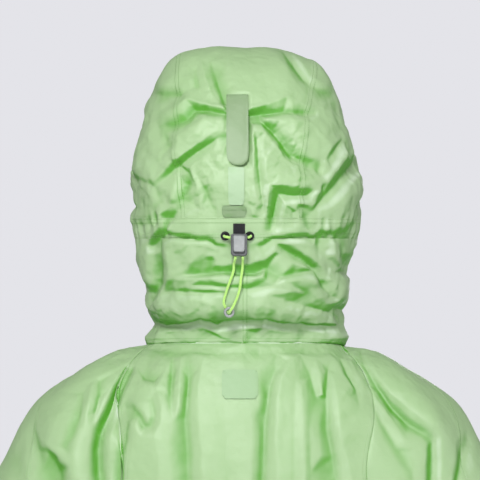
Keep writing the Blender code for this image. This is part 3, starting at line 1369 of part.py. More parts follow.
def main():
    """Build the whole jacket."""
    clear_scene()
    cloth = build_cloth()
    cloth.press_folds()
    normals = cloth.normals()
    level_channel(normals)
    shell = build_shell(cloth, normals)
    build_trims(shell)
    build_cord_lock(shell)
    build_zip(cloth, normals)


main()
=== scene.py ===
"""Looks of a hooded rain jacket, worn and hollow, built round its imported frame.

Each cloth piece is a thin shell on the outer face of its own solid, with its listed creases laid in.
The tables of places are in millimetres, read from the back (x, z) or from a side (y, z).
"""

import logging
import math
from collections.abc import Iterable, Iterator, Sequence
from contextlib import contextmanager
from dataclasses import dataclass, field
from enum import Enum

import bmesh
import bpy
import numpy as np
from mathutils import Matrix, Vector, geometry, kdtree
from mathutils.bvhtree import BVHTree


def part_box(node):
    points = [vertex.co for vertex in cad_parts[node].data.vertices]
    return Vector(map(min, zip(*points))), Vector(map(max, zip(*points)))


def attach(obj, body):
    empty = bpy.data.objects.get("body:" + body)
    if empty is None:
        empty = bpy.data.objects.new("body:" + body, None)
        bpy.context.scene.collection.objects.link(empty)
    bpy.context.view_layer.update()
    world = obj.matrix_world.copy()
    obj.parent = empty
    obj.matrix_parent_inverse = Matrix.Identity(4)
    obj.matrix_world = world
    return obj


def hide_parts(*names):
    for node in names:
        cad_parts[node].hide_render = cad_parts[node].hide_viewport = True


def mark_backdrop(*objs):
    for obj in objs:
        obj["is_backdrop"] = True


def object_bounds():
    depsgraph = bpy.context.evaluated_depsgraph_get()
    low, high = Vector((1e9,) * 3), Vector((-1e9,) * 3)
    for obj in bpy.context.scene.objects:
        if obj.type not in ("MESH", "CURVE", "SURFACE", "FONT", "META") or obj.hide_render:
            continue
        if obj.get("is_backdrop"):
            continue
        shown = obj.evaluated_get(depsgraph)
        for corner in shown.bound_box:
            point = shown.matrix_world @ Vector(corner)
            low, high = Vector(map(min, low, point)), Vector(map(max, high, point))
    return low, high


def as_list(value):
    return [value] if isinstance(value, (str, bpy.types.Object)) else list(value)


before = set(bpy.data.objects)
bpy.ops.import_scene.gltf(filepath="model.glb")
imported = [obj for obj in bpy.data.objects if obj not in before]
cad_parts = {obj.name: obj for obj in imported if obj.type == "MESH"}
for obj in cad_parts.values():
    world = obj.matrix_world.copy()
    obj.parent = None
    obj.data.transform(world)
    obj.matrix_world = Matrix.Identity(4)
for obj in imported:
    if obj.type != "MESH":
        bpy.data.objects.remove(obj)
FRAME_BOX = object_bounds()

log = logging.getLogger("rain_jacket")
Material, Socket = bpy.types.Material, bpy.types.NodeSocket
Colour = tuple[float, float, float, float]
MM = 0.001
FAR = 500.0  # a distance to a seam that is too long to matter
BEHIND_REACH = 10.0  # how far from its edge the reinforcement behind the back is noted


# ------------------------ choices
class View(Enum):
    """Side that a crease is read from: the two axes of its table, and the way that the side faces."""

    BACK = ((0, 2), (0.0, 1.0, 0.0))
    FRONT = ((0, 2), (0.0, -1.0, 0.0))
    LEFT = ((1, 2), (1.0, 0.0, 0.0))
    RIGHT = ((1, 2), (-1.0, 0.0, 0.0))


class Slot(Enum):
    """Material slots of the record."""

    SHELL = "shell"
    TAB = "tab_cloth"
    PALE = "pale_cloth"
    CORD = "cord"
    WEBBING = "webbing"
    PLASTIC = "plastic"
    ZIP_TAPE = "zip_tape"


# ------------------------ folds, listed
# Ridges and valleys seen from the back: lines of (x, z, height). Flat facets of cloth stand between them.
FoldLine = tuple[tuple[float, float, float], ...]
HOOD_FOLDS: tuple[FoldLine, ...] = (
    # crown
    ((46, 318, 1.5), (42, 300, 2.5), (36, 284, 2.8), (25, 268, 2)),
    ((35, 316, -0.5), (28, 298, -3), (24, 284, -3.5), (19, 270, -3)),
    ((14, 320, 0.5), (10, 300, 1.2), (8, 286, 0.5)),
    ((62, 314, 0.8), (58, 298, 1.6), (60, 284, 1)),
    ((52, 306, -0.8), (50, 290, -1.6)),
    ((-12, 326, 0), (-14, 304, 0.8), (-20, 284, 1)),
    ((-38, 326, 0.6), (-50, 308, 1.6), (-61, 292, 1.6)),
    ((-46, 330, -1.5), (-60, 313, -3.4), (-70, 299, -3)),
    ((-56, 328, 0.8), (-68, 312, 1.8), (-76, 300, 1.6)),
    ((-80, 297, 1.8), (-94, 289, 2.2), (-106, 282, 0.8)),
    ((-78, 290, -1.6), (-92, 282, -3), (-104, 275, -1.6)),
    ((102, 294, 0.8), (86, 289, 3), (70, 288, 1)),
    ((99, 283, -1), (86, 279.5, -3), (70, 279.5, -2)),
    # from the tab's top to the left
    ((17, 262.5, 3), (40, 267.5, 4), (61, 273.5, 5), (67, 268, 4.4), (80, 259.5, 3), (97, 249, 1.4)),
    ((18, 258.5, -3.4), (40, 263, -4.2), (52, 263.5, -4.4), (62, 253, -4.4), (77, 246, -3.6), (93, 243, -1.2)),
    ((24, 250, 1.2), (42, 252, 2.2), (54, 244, 2.2), (66, 238, 1.4)),
    ((104, 264, 0.6), (100, 246, 2), (105, 226, 2.4), (109, 206, 1)),
    ((88, 238, -2), (86, 222, -2.2), (92, 206, -1)),
    ((72, 234, 1.6), (70, 220, 2.2), (78, 210, 2.6)),
    # from the tab's top to the right
    ((-8, 263.5, 3), (-29, 267.5, 4.2), (-51, 276.5, 4.8), (-57, 268, 2.6), (-70, 268, 2.4), (-85, 265, 1)),
    ((-8, 259, -9), (-20, 259.5, -7), (-34, 260, -5.2), (-46, 261, -4.4), (-57, 260, -3), (-69, 260, -3.2),
     (-83, 258.5, -1.2)),
    ((-28, 252, 0.6), (-44, 251, 2.2), (-58, 250, 2.6), (-76, 250, 1.8)),
    # right trough, deep and steep on its lower left
    ((-13, 245, 0.4), (-26, 237, 3), (-37, 223, 3.8), (-47, 208, 3.8), (-57, 201, 3.2), (-77, 193, 2.6),
     (-95, 183.5, 1.6)),
    ((-10, 250, -5), (-22, 250, -4.6), (-33, 240, -4.8), (-44, 226, -4.8), (-55, 212, -4.4), (-66, 206, -4),
     (-80, 199, -3.4), (-92, 189, -1.6)),
    ((-62, 238, 2), (-78, 224, 2.6), (-92, 210, 1.6), (-99, 196, 1)),
    ((-86, 256, 1.2), (-100, 240, 2.8), (-107, 228, 3), (-97, 216, 2)),
    ((-114, 232, -1.4), (-104, 217, -3), (-95, 205, -1.8)),
    # facet under the trough's end, and the upright fold beside it
    ((-97, 181.5, 1.4), (-80, 181, 2.2), (-62, 178, 1.8), (-44, 179, 1.2), (-31, 179, 2.4), (-28, 160, 3.4),
     (-26, 140, 3.4), (-25, 126, 2)),
    ((-92, 177, -2), (-75, 166, -4.2), (-54, 166, -4.8), (-41, 168, -5.4), (-38, 155, -5.4), (-35, 138, -5),
     (-31.5, 126, -4)),
    ((-84, 160, 1), (-62, 158, 2.8), (-49, 157, 2.2), (-44, 140, 2), (-43, 129, 1)),
    ((-42, 193, -0.8), (-37, 186, -1)),
    # behind and below the tab
    ((-12, 238, 0.8), (-13, 216, 1.4), (-13, 196, 1.6), (-15, 172, 1.8), (-20, 150, 1.2)),
    ((-8, 248, -8), (-8.5, 236, -6), (-8.5, 218, -5), (-6, 208, -3.6), (0, 201, -2.6), (8, 198, -1.4)),
    ((-17, 230, -1.4), (-19, 200, -2.6), (-21.5, 176, -2.4), (-24, 156, -1)),
    ((-24, 222, 1.4), (-27, 200, 1.8), (-27, 188, 1.4)),
    ((24, 196, 1), (20, 172, 1), (19, 156, 0.5)),
    # the long diagonal on the left and the fan under it
    ((27, 240, 1.6), (52, 223, 3.2), (75, 205.5, 3.4), (98, 183, 1)),
    ((26, 232, -1.4), (50, 216, -3.2), (71, 200, -3.2), (98, 177, -1)),
    ((34, 216, 1.8), (52, 203, 2.8), (57, 198, 3), (50, 176, 2.2), (45, 150, 0.8)),
    ((59, 192, -1.6), (61, 180, -3.6), (67, 164, -3.4), (71, 148, -1.2)),
    ((48, 186, -0.4), (39, 166, -2.2), (30, 147, -1)),
    ((40, 190, 1.8), (30, 168, 1.6), (26, 150, 0.5)),
    ((76, 190, 1.4), (74, 172, 2.6), (80, 156, 1.6)),
    ((100, 168, 1.2), (92, 158, -2), (100, 148, -1)),
    # big diagonal on the right
    ((-118, 212, 1.8), (-102, 193, 3.2), (-86, 172, 3.4), (-77, 156, 1.4)),
    ((-129, 203, -3.6), (-111, 185, -5.2), (-94, 166, -4.8), (-80, 148, -1.8)),
    ((-131, 188, 1.4), (-116, 170, 3.2), (-100, 153, 2.6), (-87, 139, 1)),
    ((-68, 155, -1.6), (-72, 142, -2.8), (-77, 127, -2.4)),
    ((-61, 150, 1.6), (-65, 137, 1.8), (-70, 128, 1)),
    ((-58, 148, -1), (-56, 134, -1.2)),
    # the line under the channel
    ((83, 127.5, 2.4), (60, 123.5, 2.2), (48, 120, 1.8), (38, 121, 1.8), (29, 115, 1.2), (21, 115, 0.6)),
    ((82, 122.5, -3.6), (60, 119, -3), (48, 115.5, -2.6), (38, 116.5, -2.6), (29, 110, -2.4), (21, 111, -1.4)),
    ((78, 115, 1.8), (58, 113, 2), (40, 112, 1.6), (28, 106, 1)),
    ((-16, 117, 1), (-24, 116, 1.8), (-32, 122.5, 2.2), (-46, 122.5, 2.4), (-60, 125, 2.4), (-73, 126, 2.2),
     (-80, 123, 2), (-88, 129, 2), (-100, 128, 1.6), (-120, 134, 1)),
    ((-16, 112, -1.8), (-24, 110.5, -2.8), (-33, 117, -4), (-46, 117.5, -4.6), (-60, 120, -4.6), (-73, 121, -4),
     (-80, 118, -3.6), (-88, 123.5, -3), (-100, 122.5, -2.6), (-120, 128.5, -2)),
    ((-54, 114, 2.4), (-70, 114, 2.6), (-80, 111, 2)),
    # left gather and the upright trough under it
    ((86, 144, -2.4), (84.5, 133, -4)),
    ((91, 146, 1.6), (91, 132, 2.6), (101, 122, 2.6), (108, 112, 1.2)),
    ((84, 126.5, -4.4), (94, 117.5, -5.2), (104, 108, -2.6)),
    ((98, 150, -1.4), (97, 138, -2.4)),
    ((86, 111, 2), (82, 98, 3), (81, 82, 3.2), (84, 68, 3.2), (93, 52, 2.2), (101, 44, 1)),
    ((93, 104, -3.6), (93, 86, -5.2), (95, 66, -5.2), (100, 52, -3.8), (104, 42, -1.8)),
    ((104, 102, 1.8), (105, 84, 2.6), (105, 64, 2.4), (108, 48, 1)),
    # smile behind the cord
    ((33, 100, 1), (25, 91, 1.6), (10, 91, 1.4), (-12, 92, 1.6), (-26, 95.5, 2.2), (-38, 104.5, 2)),
    ((62, 77.5, -2), (40, 79.5, -4.4), (20, 81.5, -5), (2, 79.5, -5), (-15, 79.5, -5.2), (-28, 86, -4.4),
     (-39, 100, -2)),
    ((33, 95, -2.6), (36, 85, -4.2)),
    ((76, 74, 2.2), (44, 74, 3.2), (10, 74, 3.2), (-16, 75, 3), (-24, 78, 2.4)),
    ((44, 96, 1.6), (56, 92, 2.2), (70, 92, 1.6)),
    ((48, 66, -1.4), (20, 64, -3), (-6, 61.5, -3.2), (-36, 65, -1.4)),
    ((60, 64, 1.6), (40, 62, 1), (10, 60, 0.6)),
    ((80, 60, -1.4), (60, 58.5, -2.6), (36, 57.5, -2.4), (14, 56, -1)),
    ((74, 50, 2.4), (40, 49, 2.8), (0, 50, 2.2), (-30, 56, 2.2), (-60, 60, 2)),
    # right of the cord
    ((-47, 114, 1.2), (-66, 104, 3), (-84, 92, 3.2), (-96, 76, 3.2), (-106, 60, 1.6)),
    ((-38, 115, -1.4), (-48, 106, -3.2), (-64, 97.5, -4.4), (-82, 83.5, -4.8), (-92, 70, -4.6), (-102, 54, -2.4)),
    ((-44, 99, 1.6), (-58, 91, 2.8), (-72, 86, 2.2)),
    ((-27, 72, -1.4), (-44, 76, -3.4), (-60, 80.5, -3.8), (-74, 82, -3)),
    ((-48, 71, 1.6), (-68, 74, 3), (-81, 72, 3.2), (-88, 60, 2.4), (-92, 48, 1.2)),
    ((-60, 64, -1), (-74, 56, -2)),
    ((-83, 119, -1.6), (-88, 108, -2.4), (-94, 98, -1)),
    ((-104, 112, 1.6), (-104, 98, 2.6), (-109, 86, 2)),
    ((-113, 112, -3), (-114, 98, -4), (-114, 84, -2.4)),
    ((-56, 47, -1.6), (-80, 40, -3), (-96, 36, -2)),
    ((-100, 46, 2), (-110, 50, 2)),
    ((-106, 30, -3.6), (-110, 38, -3)),
    # roll over the neck seam
    ((104, 36, 1), (92, 29.5, 4), (60, 28.5, 5.4), (45, 31.5, 5.4), (30, 31, 5.4), (0, 32, 5.4), (-30, 30.5, 5),
     (-60, 27, 4.6), (-90, 26, 3.4), (-104, 24, 1.6)),
    ((97, 25, -3.6), (87, 20.5, -4.6), (62, 22.5, -5.4), (48, 26, -5.4), (38, 24, -5), (28, 19.5, -4.4),
     (20, 24, -5.4), (0, 26, -5.4), (-26, 25.5, -5.4), (-45, 21.5, -5), (-62, 22, -4.8), (-85, 21, -3.8),
     (-110, 20, -2.4)),
    ((92, 14, 0.4), (62, 16, 1.2), (46, 19, 1.4), (28, 13, 1), (0, 18, 1.2), (-28, 18, 1.4), (-54, 14, 1.4),
     (-85, 14, 1), (-108, 13, 0.4)),
    ((38, 14, -1), (30, 10, -2), (20, 5, -0.6)),
    ((-66, 16, -2), (-71, 11, -2.4), (-77, 4, -0.6)),
    ((84, 13, -1.4), (72, 4, -0.6)),
    ((-16, 13, -1.4), (-18, 6, -0.6)),
)
BODY_FOLDS: tuple[FoldLine, ...] = (
    ((132, 2, 0), (104, 0, 0), (60, -3, 0), (0, -4, 0), (-60, -3, 0), (-104, 0, 0), (-134, 2, 0)),
    # under the neck seam
    ((98, -9, -1.6), (60, -10, -1.6), (30, -13, -1.4), (0, -11, -1), (-40, -12, -1.4), (-66, -11, -1.6),
     (-100, -12, -1.4)),
    ((109, -26, -0.6), (112, -40, -3.4), (100, -43, -3.4), (93, -36, -1)),
    ((120, -27, 3.4), (113, -47, 3.4), (98, -52, 4), (92, -44, 3.6), (86, -30, 1.4)),
    ((79, -16, -1.4), (80, -40, -4), (81, -64, -3), (78, -90, -0.6)),
    ((70, -20, 1.4), (71, -44, 3), (72, -70, 2.6)),
    ((61, -16, -1.2), (61, -44, -4), (64, -84, -5), (61, -130, -5.4), (60, -190, -5), (54, -300, -4.6),
     (48, -460, -4.6), (42, -640, -4)),
    ((44, -18, 2.6), (50, -50, 4), (50, -86, 4.6), (46, -130, 5), (44, -190, 4.6), (36, -300, 4.6), (28, -460, 4.6),
     (22, -640, 4)),
    ((20, -20, 0), (22, -60, 0.6), (18, -110, 1), (14, -180, -2), (6, -300, -3.4), (2, -460, -4), (0, -640, -3)),
    ((-14, -30, 0), (-13, -66, 2), (-13, -110, 3.4), (-9, -190, 3.4), (-12, -300, 3), (-20, -460, 3.4),
     (-18, -640, 3)),
    ((-50, -20, -1), (-36, -38, -3.4), (-30, -62, -4.6), (-26, -104, -5), (-23, -190, -5), (-30, -300, -4.4),
     (-40, -460, -4), (-38, -640, -3.4)),
    ((-60, -18, 2.4), (-46, -38, 3), (-41, -64, 4.4), (-39, -104, 4.6), (-42, -190, 4.4), (-50, -300, 4),
     (-58, -460, 4.4), (-56, -640, 4)),
    ((-62, -44, 0.6), (-60, -90, -1), (-60, -150, -1.6), (-64, -220, -1)),
    ((-68, -50, 2.2), (-71, -90, 2.4), (-72, -150, 2.4), (-74, -220, 1)),
    ((-76, -58, -0.6), (-77, -90, -1.4), (-78, -150, -1.6), (-80, -220, -0.6)),
    ((-66, -12, 0.4), (-79, -38, -3.4), (-86, -62, -3.8), (-89, -92, -2), (-90, -130, 0)),
    ((-84, -18, 2), (-90, -40, 2.6), (-92, -60, 1.6)),
    ((-99, -30, -2.4), (-97, -62, -4.8), (-98, -100, -5.2), (-104, -132, -5), (-112, -190, -4.4),
     (-106, -300, -4.2), (-98, -460, -4.4), (-94, -640, -4)),
    ((-106, -44, 2.4), (-110, -72, 4.4), (-112, -104, 4.6), (-124, -150, 4), (-132, -220, 4), (-126, -320, 4),
     (-116, -470, 4), (-112, -640, 3.6)),
    ((-104, -18, 2), (-115, -36, 2), (-124, -48, 2.2)),
    ((-112, -18, -1.6), (-122, -38, -3.2), (-132, -56, -2.8), (-136, -76, 0)),
    ((-124, -22, 2.4), (-136, -44, 2.8), (-142, -58, 2)),
    # from the right armhole to the sleeve's tent corner
    ((-141, -26, -2.4), (-156, -52, -5), (-172, -76, -5.4), (-190, -94, -5.2), (-210, -105, -4.6), (-218, -112, -5)),
    ((-148, -28, 2.4), (-168, -56, 4.4), (-194, -78, 4.6), (-222, -98, 4.6), (-227, -108, 5), (-228, -134, 4.6),
     (-226, -190, 4), (-232, -260, 2)),
    ((-140, -48, 2), (-152, -64, 4.2), (-168, -86, 4.6), (-186, -112, 4), (-204, -112, 1.4), (-209, -122, 2.4),
     (-208, -150, 3.4), (-205, -200, 3), (-204, -260, 1)),
    ((-150, -72, 0), (-164, -98, -3), (-180, -124, -3.6), (-196, -150, -2.4), (-200, -190, -0.6)),
    ((-150, -104, 2), (-162, -134, 3), (-176, -164, 2.4)),
    ((-218, -118, -6.4), (-219, -138, -7.4), (-216, -190, -5), (-214, -260, -2)),
    ((-244, -112, 3.4), (-243, -134, 3.2), (-238, -170, 3), (-246, -230, 2)),
    ((-258, -112, -3), (-252, -136, -5.6), (-246, -164, -4.6), (-254, -220, -3), (-270, -270, -1)),
    ((-264, -118, 3), (-264, -150, 3.2), (-262, -200, 2)),
    ((-196, -58, 1.4), (-232, -78, 1.8), (-258, -96, 1)),
    # left armhole, the fold that hangs inside it, and the sleeve
    ((127, -30, -3.6), (138, -52, -5.8), (149, -80, -6.6), (160, -102, -6.6), (164, -122, -6.6), (163, -146, -6.2),
     (158, -190, -4), (152, -250, -2)),
    ((134, -26, 1.4), (147, -48, 2), (158, -74, 3), (171, -100, 4), (175, -130, 4), (174, -160, 3.4), (172, -210, 2)),
    ((121, -36, 4), (132, -60, 5), (141, -84, 4), (150, -106, 4.4), (152, -140, 4), (146, -180, 3)),
    ((112, -62, 0), (104, -66, -1.6), (100, -82, -2.4), (104, -96, -3.4), (112, -97, -4), (118, -84, -3.6),
     (125, -75, -2), (134, -74, -0.4)),
    ((124, -68, 4), (114, -76, 3.4), (108, -88, 1)),
    ((92, -70, 2.4), (92, -90, 3), (100, -106, 4.6), (114, -108, 4.4), (122, -96, 3.6)),
    ((131, -88, -1.6), (134, -112, -3), (140, -134, -4.4), (142, -160, -4.6), (138, -210, -2)),
    ((124, -110, 3), (127, -134, 3.4), (130, -170, 3)),
    ((96, -130, 3), (94, -190, 3.4), (86, -300, 3.6), (76, -460, 4), (70, -640, 3.4)),
    ((110, -180, -1.6), (112, -300, -3.4), (100, -460, -4.2), (94, -640, -3.6)),
    ((130, -300, 2.6), (122, -460, 3.4), (116, -640, 3)),
    ((162, -44, -2), (162, -62, -3), (166, -78, -2.4)),
    ((168, -42, 3), (174, -62, 3.6), (178, -86, 3.6), (183, -108, 2)),
    ((183, -58, -1.6), (187, -84, -3.4), (196, -108, -4), (203, -122, -3)),
    ((198, -66, 2), (212, -92, 3), (222, -117, 4.4), (208, -129, 3.6), (195, -142, 2)),
    ((238, -96, -1), (233, -122, -3.4), (228, -146, -3.2), (226, -170, -2)),
    ((222, -124, -2), (217, -133, -6), (211, -148, -7), (207, -170, -5), (206, -230, -2)),
    ((194, -152, 3), (192, -180, 3), (194, -230, 1.4)),
    ((246, -104, 1.4), (246, -130, 3), (244, -170, 2)),
    ((250, -120, 0), (254, -136, -1.6), (254, -160, -1)),
    ((214, -56, 1), (232, -70, 1.4)),
)
STILL_RIM: FoldLine = (
    (150, 350, 0), (0, 350, 0), (-150, 350, 0), (-150, 200, 0), (-150, 60, 0), (-160, 10, 0), (-240, -40, 0),
    (-320, -110, 0), (-330, -300, 0), (-420, -760, 0), (0, -760, 0), (420, -760, 0), (330, -300, 0), (310, -110, 0),
    (240, -40, 0), (150, 10, 0), (150, 60, 0), (150, 200, 0),
)


# ------------------------ creases, listed
# Each line is (height, reach left of its run, reach right of it, points); a height below 0 sinks.
Crease = tuple[float, float, float, tuple[tuple[float, float], ...]]
CREASES: dict[View, tuple[Crease, ...]] = {
    View.BACK: (
        (-3.4, 12, 9, ((212, -296), (262, -330), (334, -316))),
        (-3.2, 11, 9, ((236, -418), (290, -440), (358, -422))),
        (-3.0, 10, 9, ((256, -520), (312, -506), (374, -528))),
        (-3.0, 10, 9, ((278, -598), (330, -618), (386, -602))),
        (-2.6, 9, 9, ((214, -232), (252, -262), (300, -268))),
        (-2.4, 9, 9, ((292, -470), (322, -560), (318, -640))),
        (-3.4, 9, 12, ((-336, -318), (-268, -334), (-216, -296))),
        (-3.2, 9, 11, ((-362, -440), (-300, -432), (-242, -452))),
        (-3.0, 9, 10, ((-376, -520), (-318, -536), (-262, -512))),
        (-3.0, 9, 10, ((-388, -612), (-334, -606), (-284, -626))),
        (-2.6, 9, 9, ((-304, -250), (-256, -262), (-216, -224))),
        (-2.4, 9, 9, ((-296, -460), (-330, -560), (-330, -650))),
    ),
    View.FRONT: (
        (-3.0, 9, 11, ((18, -22), (46, 18), (92, 48))),
        (-3.0, 11, 9, ((-92, 40), (-50, 12), (-16, -26))),
        (-2.6, 8, 8, ((20, 20), (52, 52), (96, 78))),
        (-2.6, 8, 8, ((-96, 72), (-54, 48), (-20, 14))),
        (-3.4, 12, 12, ((68, -302), (118, -252), (164, -188))),
        (-3.4, 12, 12, ((-166, -188), (-118, -262), (-64, -322))),
        (-2.8, 10, 11, ((96, -108), (80, -190), (72, -262))),
        (-2.8, 10, 11, ((-100, -118), (-84, -200), (-78, -272))),
        (-2.8, 12, 12, ((112, -358), (96, -500), (102, -645))),
        (-2.8, 12, 12, ((-114, -378), (-100, -520), (-94, -665))),
        (-2.4, 12, 12, ((44, -330), (56, -480), (40, -640))),
        (-2.4, 12, 12, ((-42, -350), (-54, -500), (-44, -660))),
        (-2.0, 9, 9, ((14, -60), (40, -90), (70, -104))),
        (-2.0, 9, 9, ((-70, -96), (-38, -100), (-14, -76))),
        (-3.4, 11, 10, ((212, -308), (270, -342), (336, -324))),
        (-3.6, 11, 10, ((244, -450), (300, -478), (364, -460))),
        (-3.4, 10, 10, ((260, -500), (316, -486), (370, -506))),
        (-3.4, 10, 10, ((268, -548), (322, -566), (378, -546))),
        (-2.8, 9, 9, ((284, -630), (338, -640), (388, -624))),
        (-3.4, 10, 11, ((-336, -330), (-272, -338), (-214, -314))),
        (-3.6, 10, 11, ((-364, -470), (-304, -470), (-248, -456))),
        (-3.4, 10, 10, ((-372, -498), (-318, -494), (-262, -510))),
        (-3.4, 10, 10, ((-380, -556), (-326, -560), (-270, -542))),
        (-2.8, 9, 9, ((-390, -632), (-340, -634), (-286, -624))),
    ),
    View.LEFT: (
        (-3.4, 12, 11, ((-96, 242), (-30, 215), (58, 172))),
        (-3.0, 11, 10, ((-96, 182), (-20, 160), (48, 152))),
        (-2.6, 10, 9, ((-60, 300), (-22, 268), (20, 250))),
        (-3.0, 10, 9, ((-92, 84), (-20, 70), (52, 58))),
        (-2.6, 9, 9, ((-80, 52), (-10, 36), (60, 30))),
        (-2.4, 8, 8, ((-84, 118), (-40, 104), (20, 102))),
    ),
    View.RIGHT: (
        (-3.4, 11, 12, ((-92, 252), (-20, 225), (62, 192))),
        (-3.0, 10, 11, ((-96, 192), (-20, 165), (52, 154))),
        (-2.6, 9, 10, ((-70, 292), (-20, 262), (30, 246))),
        (-3.6, 9, 10, ((-92, 80), (-20, 76), (72, 82))),
        (-3.2, 9, 9, ((-80, 36), (-10, 34), (72, 42))),
        (-2.4, 8, 8, ((-84, 116), (-30, 106), (30, 100))),
    ),
}


# How far the hood's sides stand out over the solids: heights, then the left and the right side.
HOOD_EASE = (
    (-14, 4, 18, 34, 42, 56, 72, 86, 100, 120, 133, 145, 170, 198, 215, 248, 265, 285, 305, 314, 325, 340),
    (-3, 7, 0, 3.5, 3, 1, 4, 3, 2, -1, -2.5, 1, 2, 6, 3, -1.5, -1, -1, 1, 1, 2, 3),
    (0, 10, 3, 2, 3, 5, 8, 1.5, 5, 1, 1, 3, 6, 4, 7, 2, -1, 2, 5, 7, 10, 12),
)


@dataclass(frozen=True)
class StillPlace:
    """Part of the back where creases are held by what lies on it, and how much of them is left."""

    x: tuple[float, float]
    z: tuple[float, float]
    fade: float
    sunk: float
    raised: float
    back_from: float = 40.0

    def hold(self, points: np.ndarray, height: np.ndarray) -> np.ndarray:
        """Lessen the heights here.

        Args:
            points: Places of the cloth.
            height: Height of the creases at each place.

        Returns:
            The heights, held here.
        """
        beside_x = np.maximum(self.x[0] - points[:, 0], points[:, 0] - self.x[1])
        beside_z = np.maximum(self.z[0] - points[:, 2], points[:, 2] - self.z[1])
        away = np.hypot(np.maximum(beside_x, 0), np.maximum(beside_z, 0))
        free = smooth_step(0, self.fade, away)
        free = np.where(points[:, 1] > self.back_from, free, 1.0)
        kept = np.where(height > 0, self.raised, self.sunk)
        return height * (free + (1 - free) * kept)


STILL_PLACES = (
    StillPlace((-6, 16), (200, 280), 5, 1.0, 0.0),
    StillPlace((-4, 15), (160, 198), 5, 0.5, 0.5),
    StillPlace((-18, 24), (-68, -32), 12, 0.4, 0.4),
    StillPlace((12, 25), (115, 128), 9, 0.0, 0.0),
    StillPlace((-15, -2), (115, 128), 9, 0.0, 0.0),
    StillPlace((-8, 14), (96, 138), 10, 0.3, 0.0),
    StillPlace((-7, 27), (28, 98), 10, 1.0, 0.15),
    StillPlace((-8, 24), (142, 156), 6, 0.5, 0.5),
)


# ------------------------ sums
def smooth_step(low: float, high: float, value: np.ndarray) -> np.ndarray:
    """Soft rise from 0 at low to 1 at high."""
    share = np.clip((value - low) / (high - low), 0, 1)
    return share * share * (3 - 2 * share)


def smooth_line(points: Sequence[Sequence[float]], step: float) -> np.ndarray:
    """Even places on a curve through some points.

    Args:
        points: What the curve passes through, in order.
        step: About how far apart the places are.

    Returns:
        The places, one row each.
    """
    given = np.array(points, float)
    ends = np.vstack([2 * given[0] - given[1], given, 2 * given[-1] - given[-2]])
    share = np.linspace(0, 1, 17)[:-1, None]
    fine = []
    for a, b, c, d in zip(ends, ends[1:], ends[2:], ends[3:]):
        bend = 2 * b + (c - a) * share + (2 * a - 5 * b + 4 * c - d) * share**2
        fine.append((bend + (3 * b - a - 3 * c + d) * share**3) / 2)
    fine = np.vstack([*fine, given[-1:]])
    run = run_along(fine)
    at = np.linspace(0, run[-1], max(round(run[-1] / step), 1) + 1)
    return np.stack([np.interp(at, run, fine[:, axis]) for axis in range(fine.shape[1])], axis=1)


def run_along(points: np.ndarray) -> np.ndarray:
    """Distance from the first point to each, along the line through them."""
    return np.concatenate([[0], np.cumsum(np.linalg.norm(np.diff(points, axis=0), axis=1))])


def unit(vectors: np.ndarray) -> np.ndarray:
    """The vectors, each of length 1."""
    return vectors / np.maximum(np.linalg.norm(vectors, axis=-1, keepdims=True), 1e-9)


def tree_of(points: np.ndarray) -> kdtree.KDTree:
    """Search tree over some points.

    Args:
        points: The points, one row each.

    Returns:
        The tree, ready to be asked.
    """
    tree = kdtree.KDTree(len(points))
    for index, point in enumerate(points):
        tree.insert(point, index)
    tree.balance()
    return tree


# ------------------------ scene objects
def only(piece: bpy.types.Object) -> None:
    """Select this object alone and make it active.

    Args:
        piece: The object.
    """
    bpy.ops.object.select_all(action="DESELECT")
    piece.select_set(True)
    bpy.context.view_layer.objects.active = piece


@contextmanager
def edit_mode() -> Iterator[None]:
    """Work on the active piece in edit mode.

    Yields:
        Nothing; the block runs in edit mode.
    """
    bpy.ops.object.mode_set(mode="EDIT")
    yield
    bpy.ops.object.mode_set(mode="OBJECT")


def face_outwards(piece: bpy.types.Object) -> None:
    """Turn the faces of a closed piece outwards.

    Args:
        piece: The piece, which is left selected alone.
    """
    only(piece)
    with edit_mode():
        bpy.ops.mesh.select_all(action="SELECT")
        bpy.ops.mesh.normals_make_consistent(inside=False)


def apply_modifier(piece: bpy.types.Object, kind: str, **settings: object) -> None:
    """Add a modifier to a piece and apply it.

    Args:
        piece: What it works on.
        kind: Blender's name of the modifier's type.
        settings: Values of the modifier's settings.
    """
    only(piece)
    added = piece.modifiers.new("shape", kind)
    for name, value in settings.items():
        setattr(added, name, value)
    bpy.ops.object.modifier_apply(modifier=added.name)


def new_piece(name: str, mesh: bpy.types.Mesh) -> bpy.types.Object:
    """Link a new object with this mesh.

    Args:
        name: Name of the object.
        mesh: Its mesh.

    Returns:
        The object.
    """
    piece = bpy.data.objects.new(name, mesh)
    bpy.context.scene.collection.objects.link(piece)
    return piece


def wear(piece: bpy.types.Object, materials: Iterable[Material]) -> None:
    """Give a piece these materials and no others.

    Args:
        piece: What wears them.
        materials: The materials, in the order of their numbers.
    """
    piece.data.materials.clear()
    for material in materials:
        piece.data.materials.append(material)


def settle(piece: bpy.types.Object, body: str, slot: Slot) -> bpy.types.Object:
    """Let a finished piece ride on a body and log how many triangles it has.

    Args:
        piece: The finished piece.
        body: Name of the body that carries it.
        slot: Material slot of its finish; not used.

    Returns:
        The piece.
    """
    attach(piece, body)
    triangles = sum(len(face.vertices) - 2 for face in piece.data.polygons)
    log.info("%s rides on %s: %d triangles", piece.name, body, triangles)
    return piece


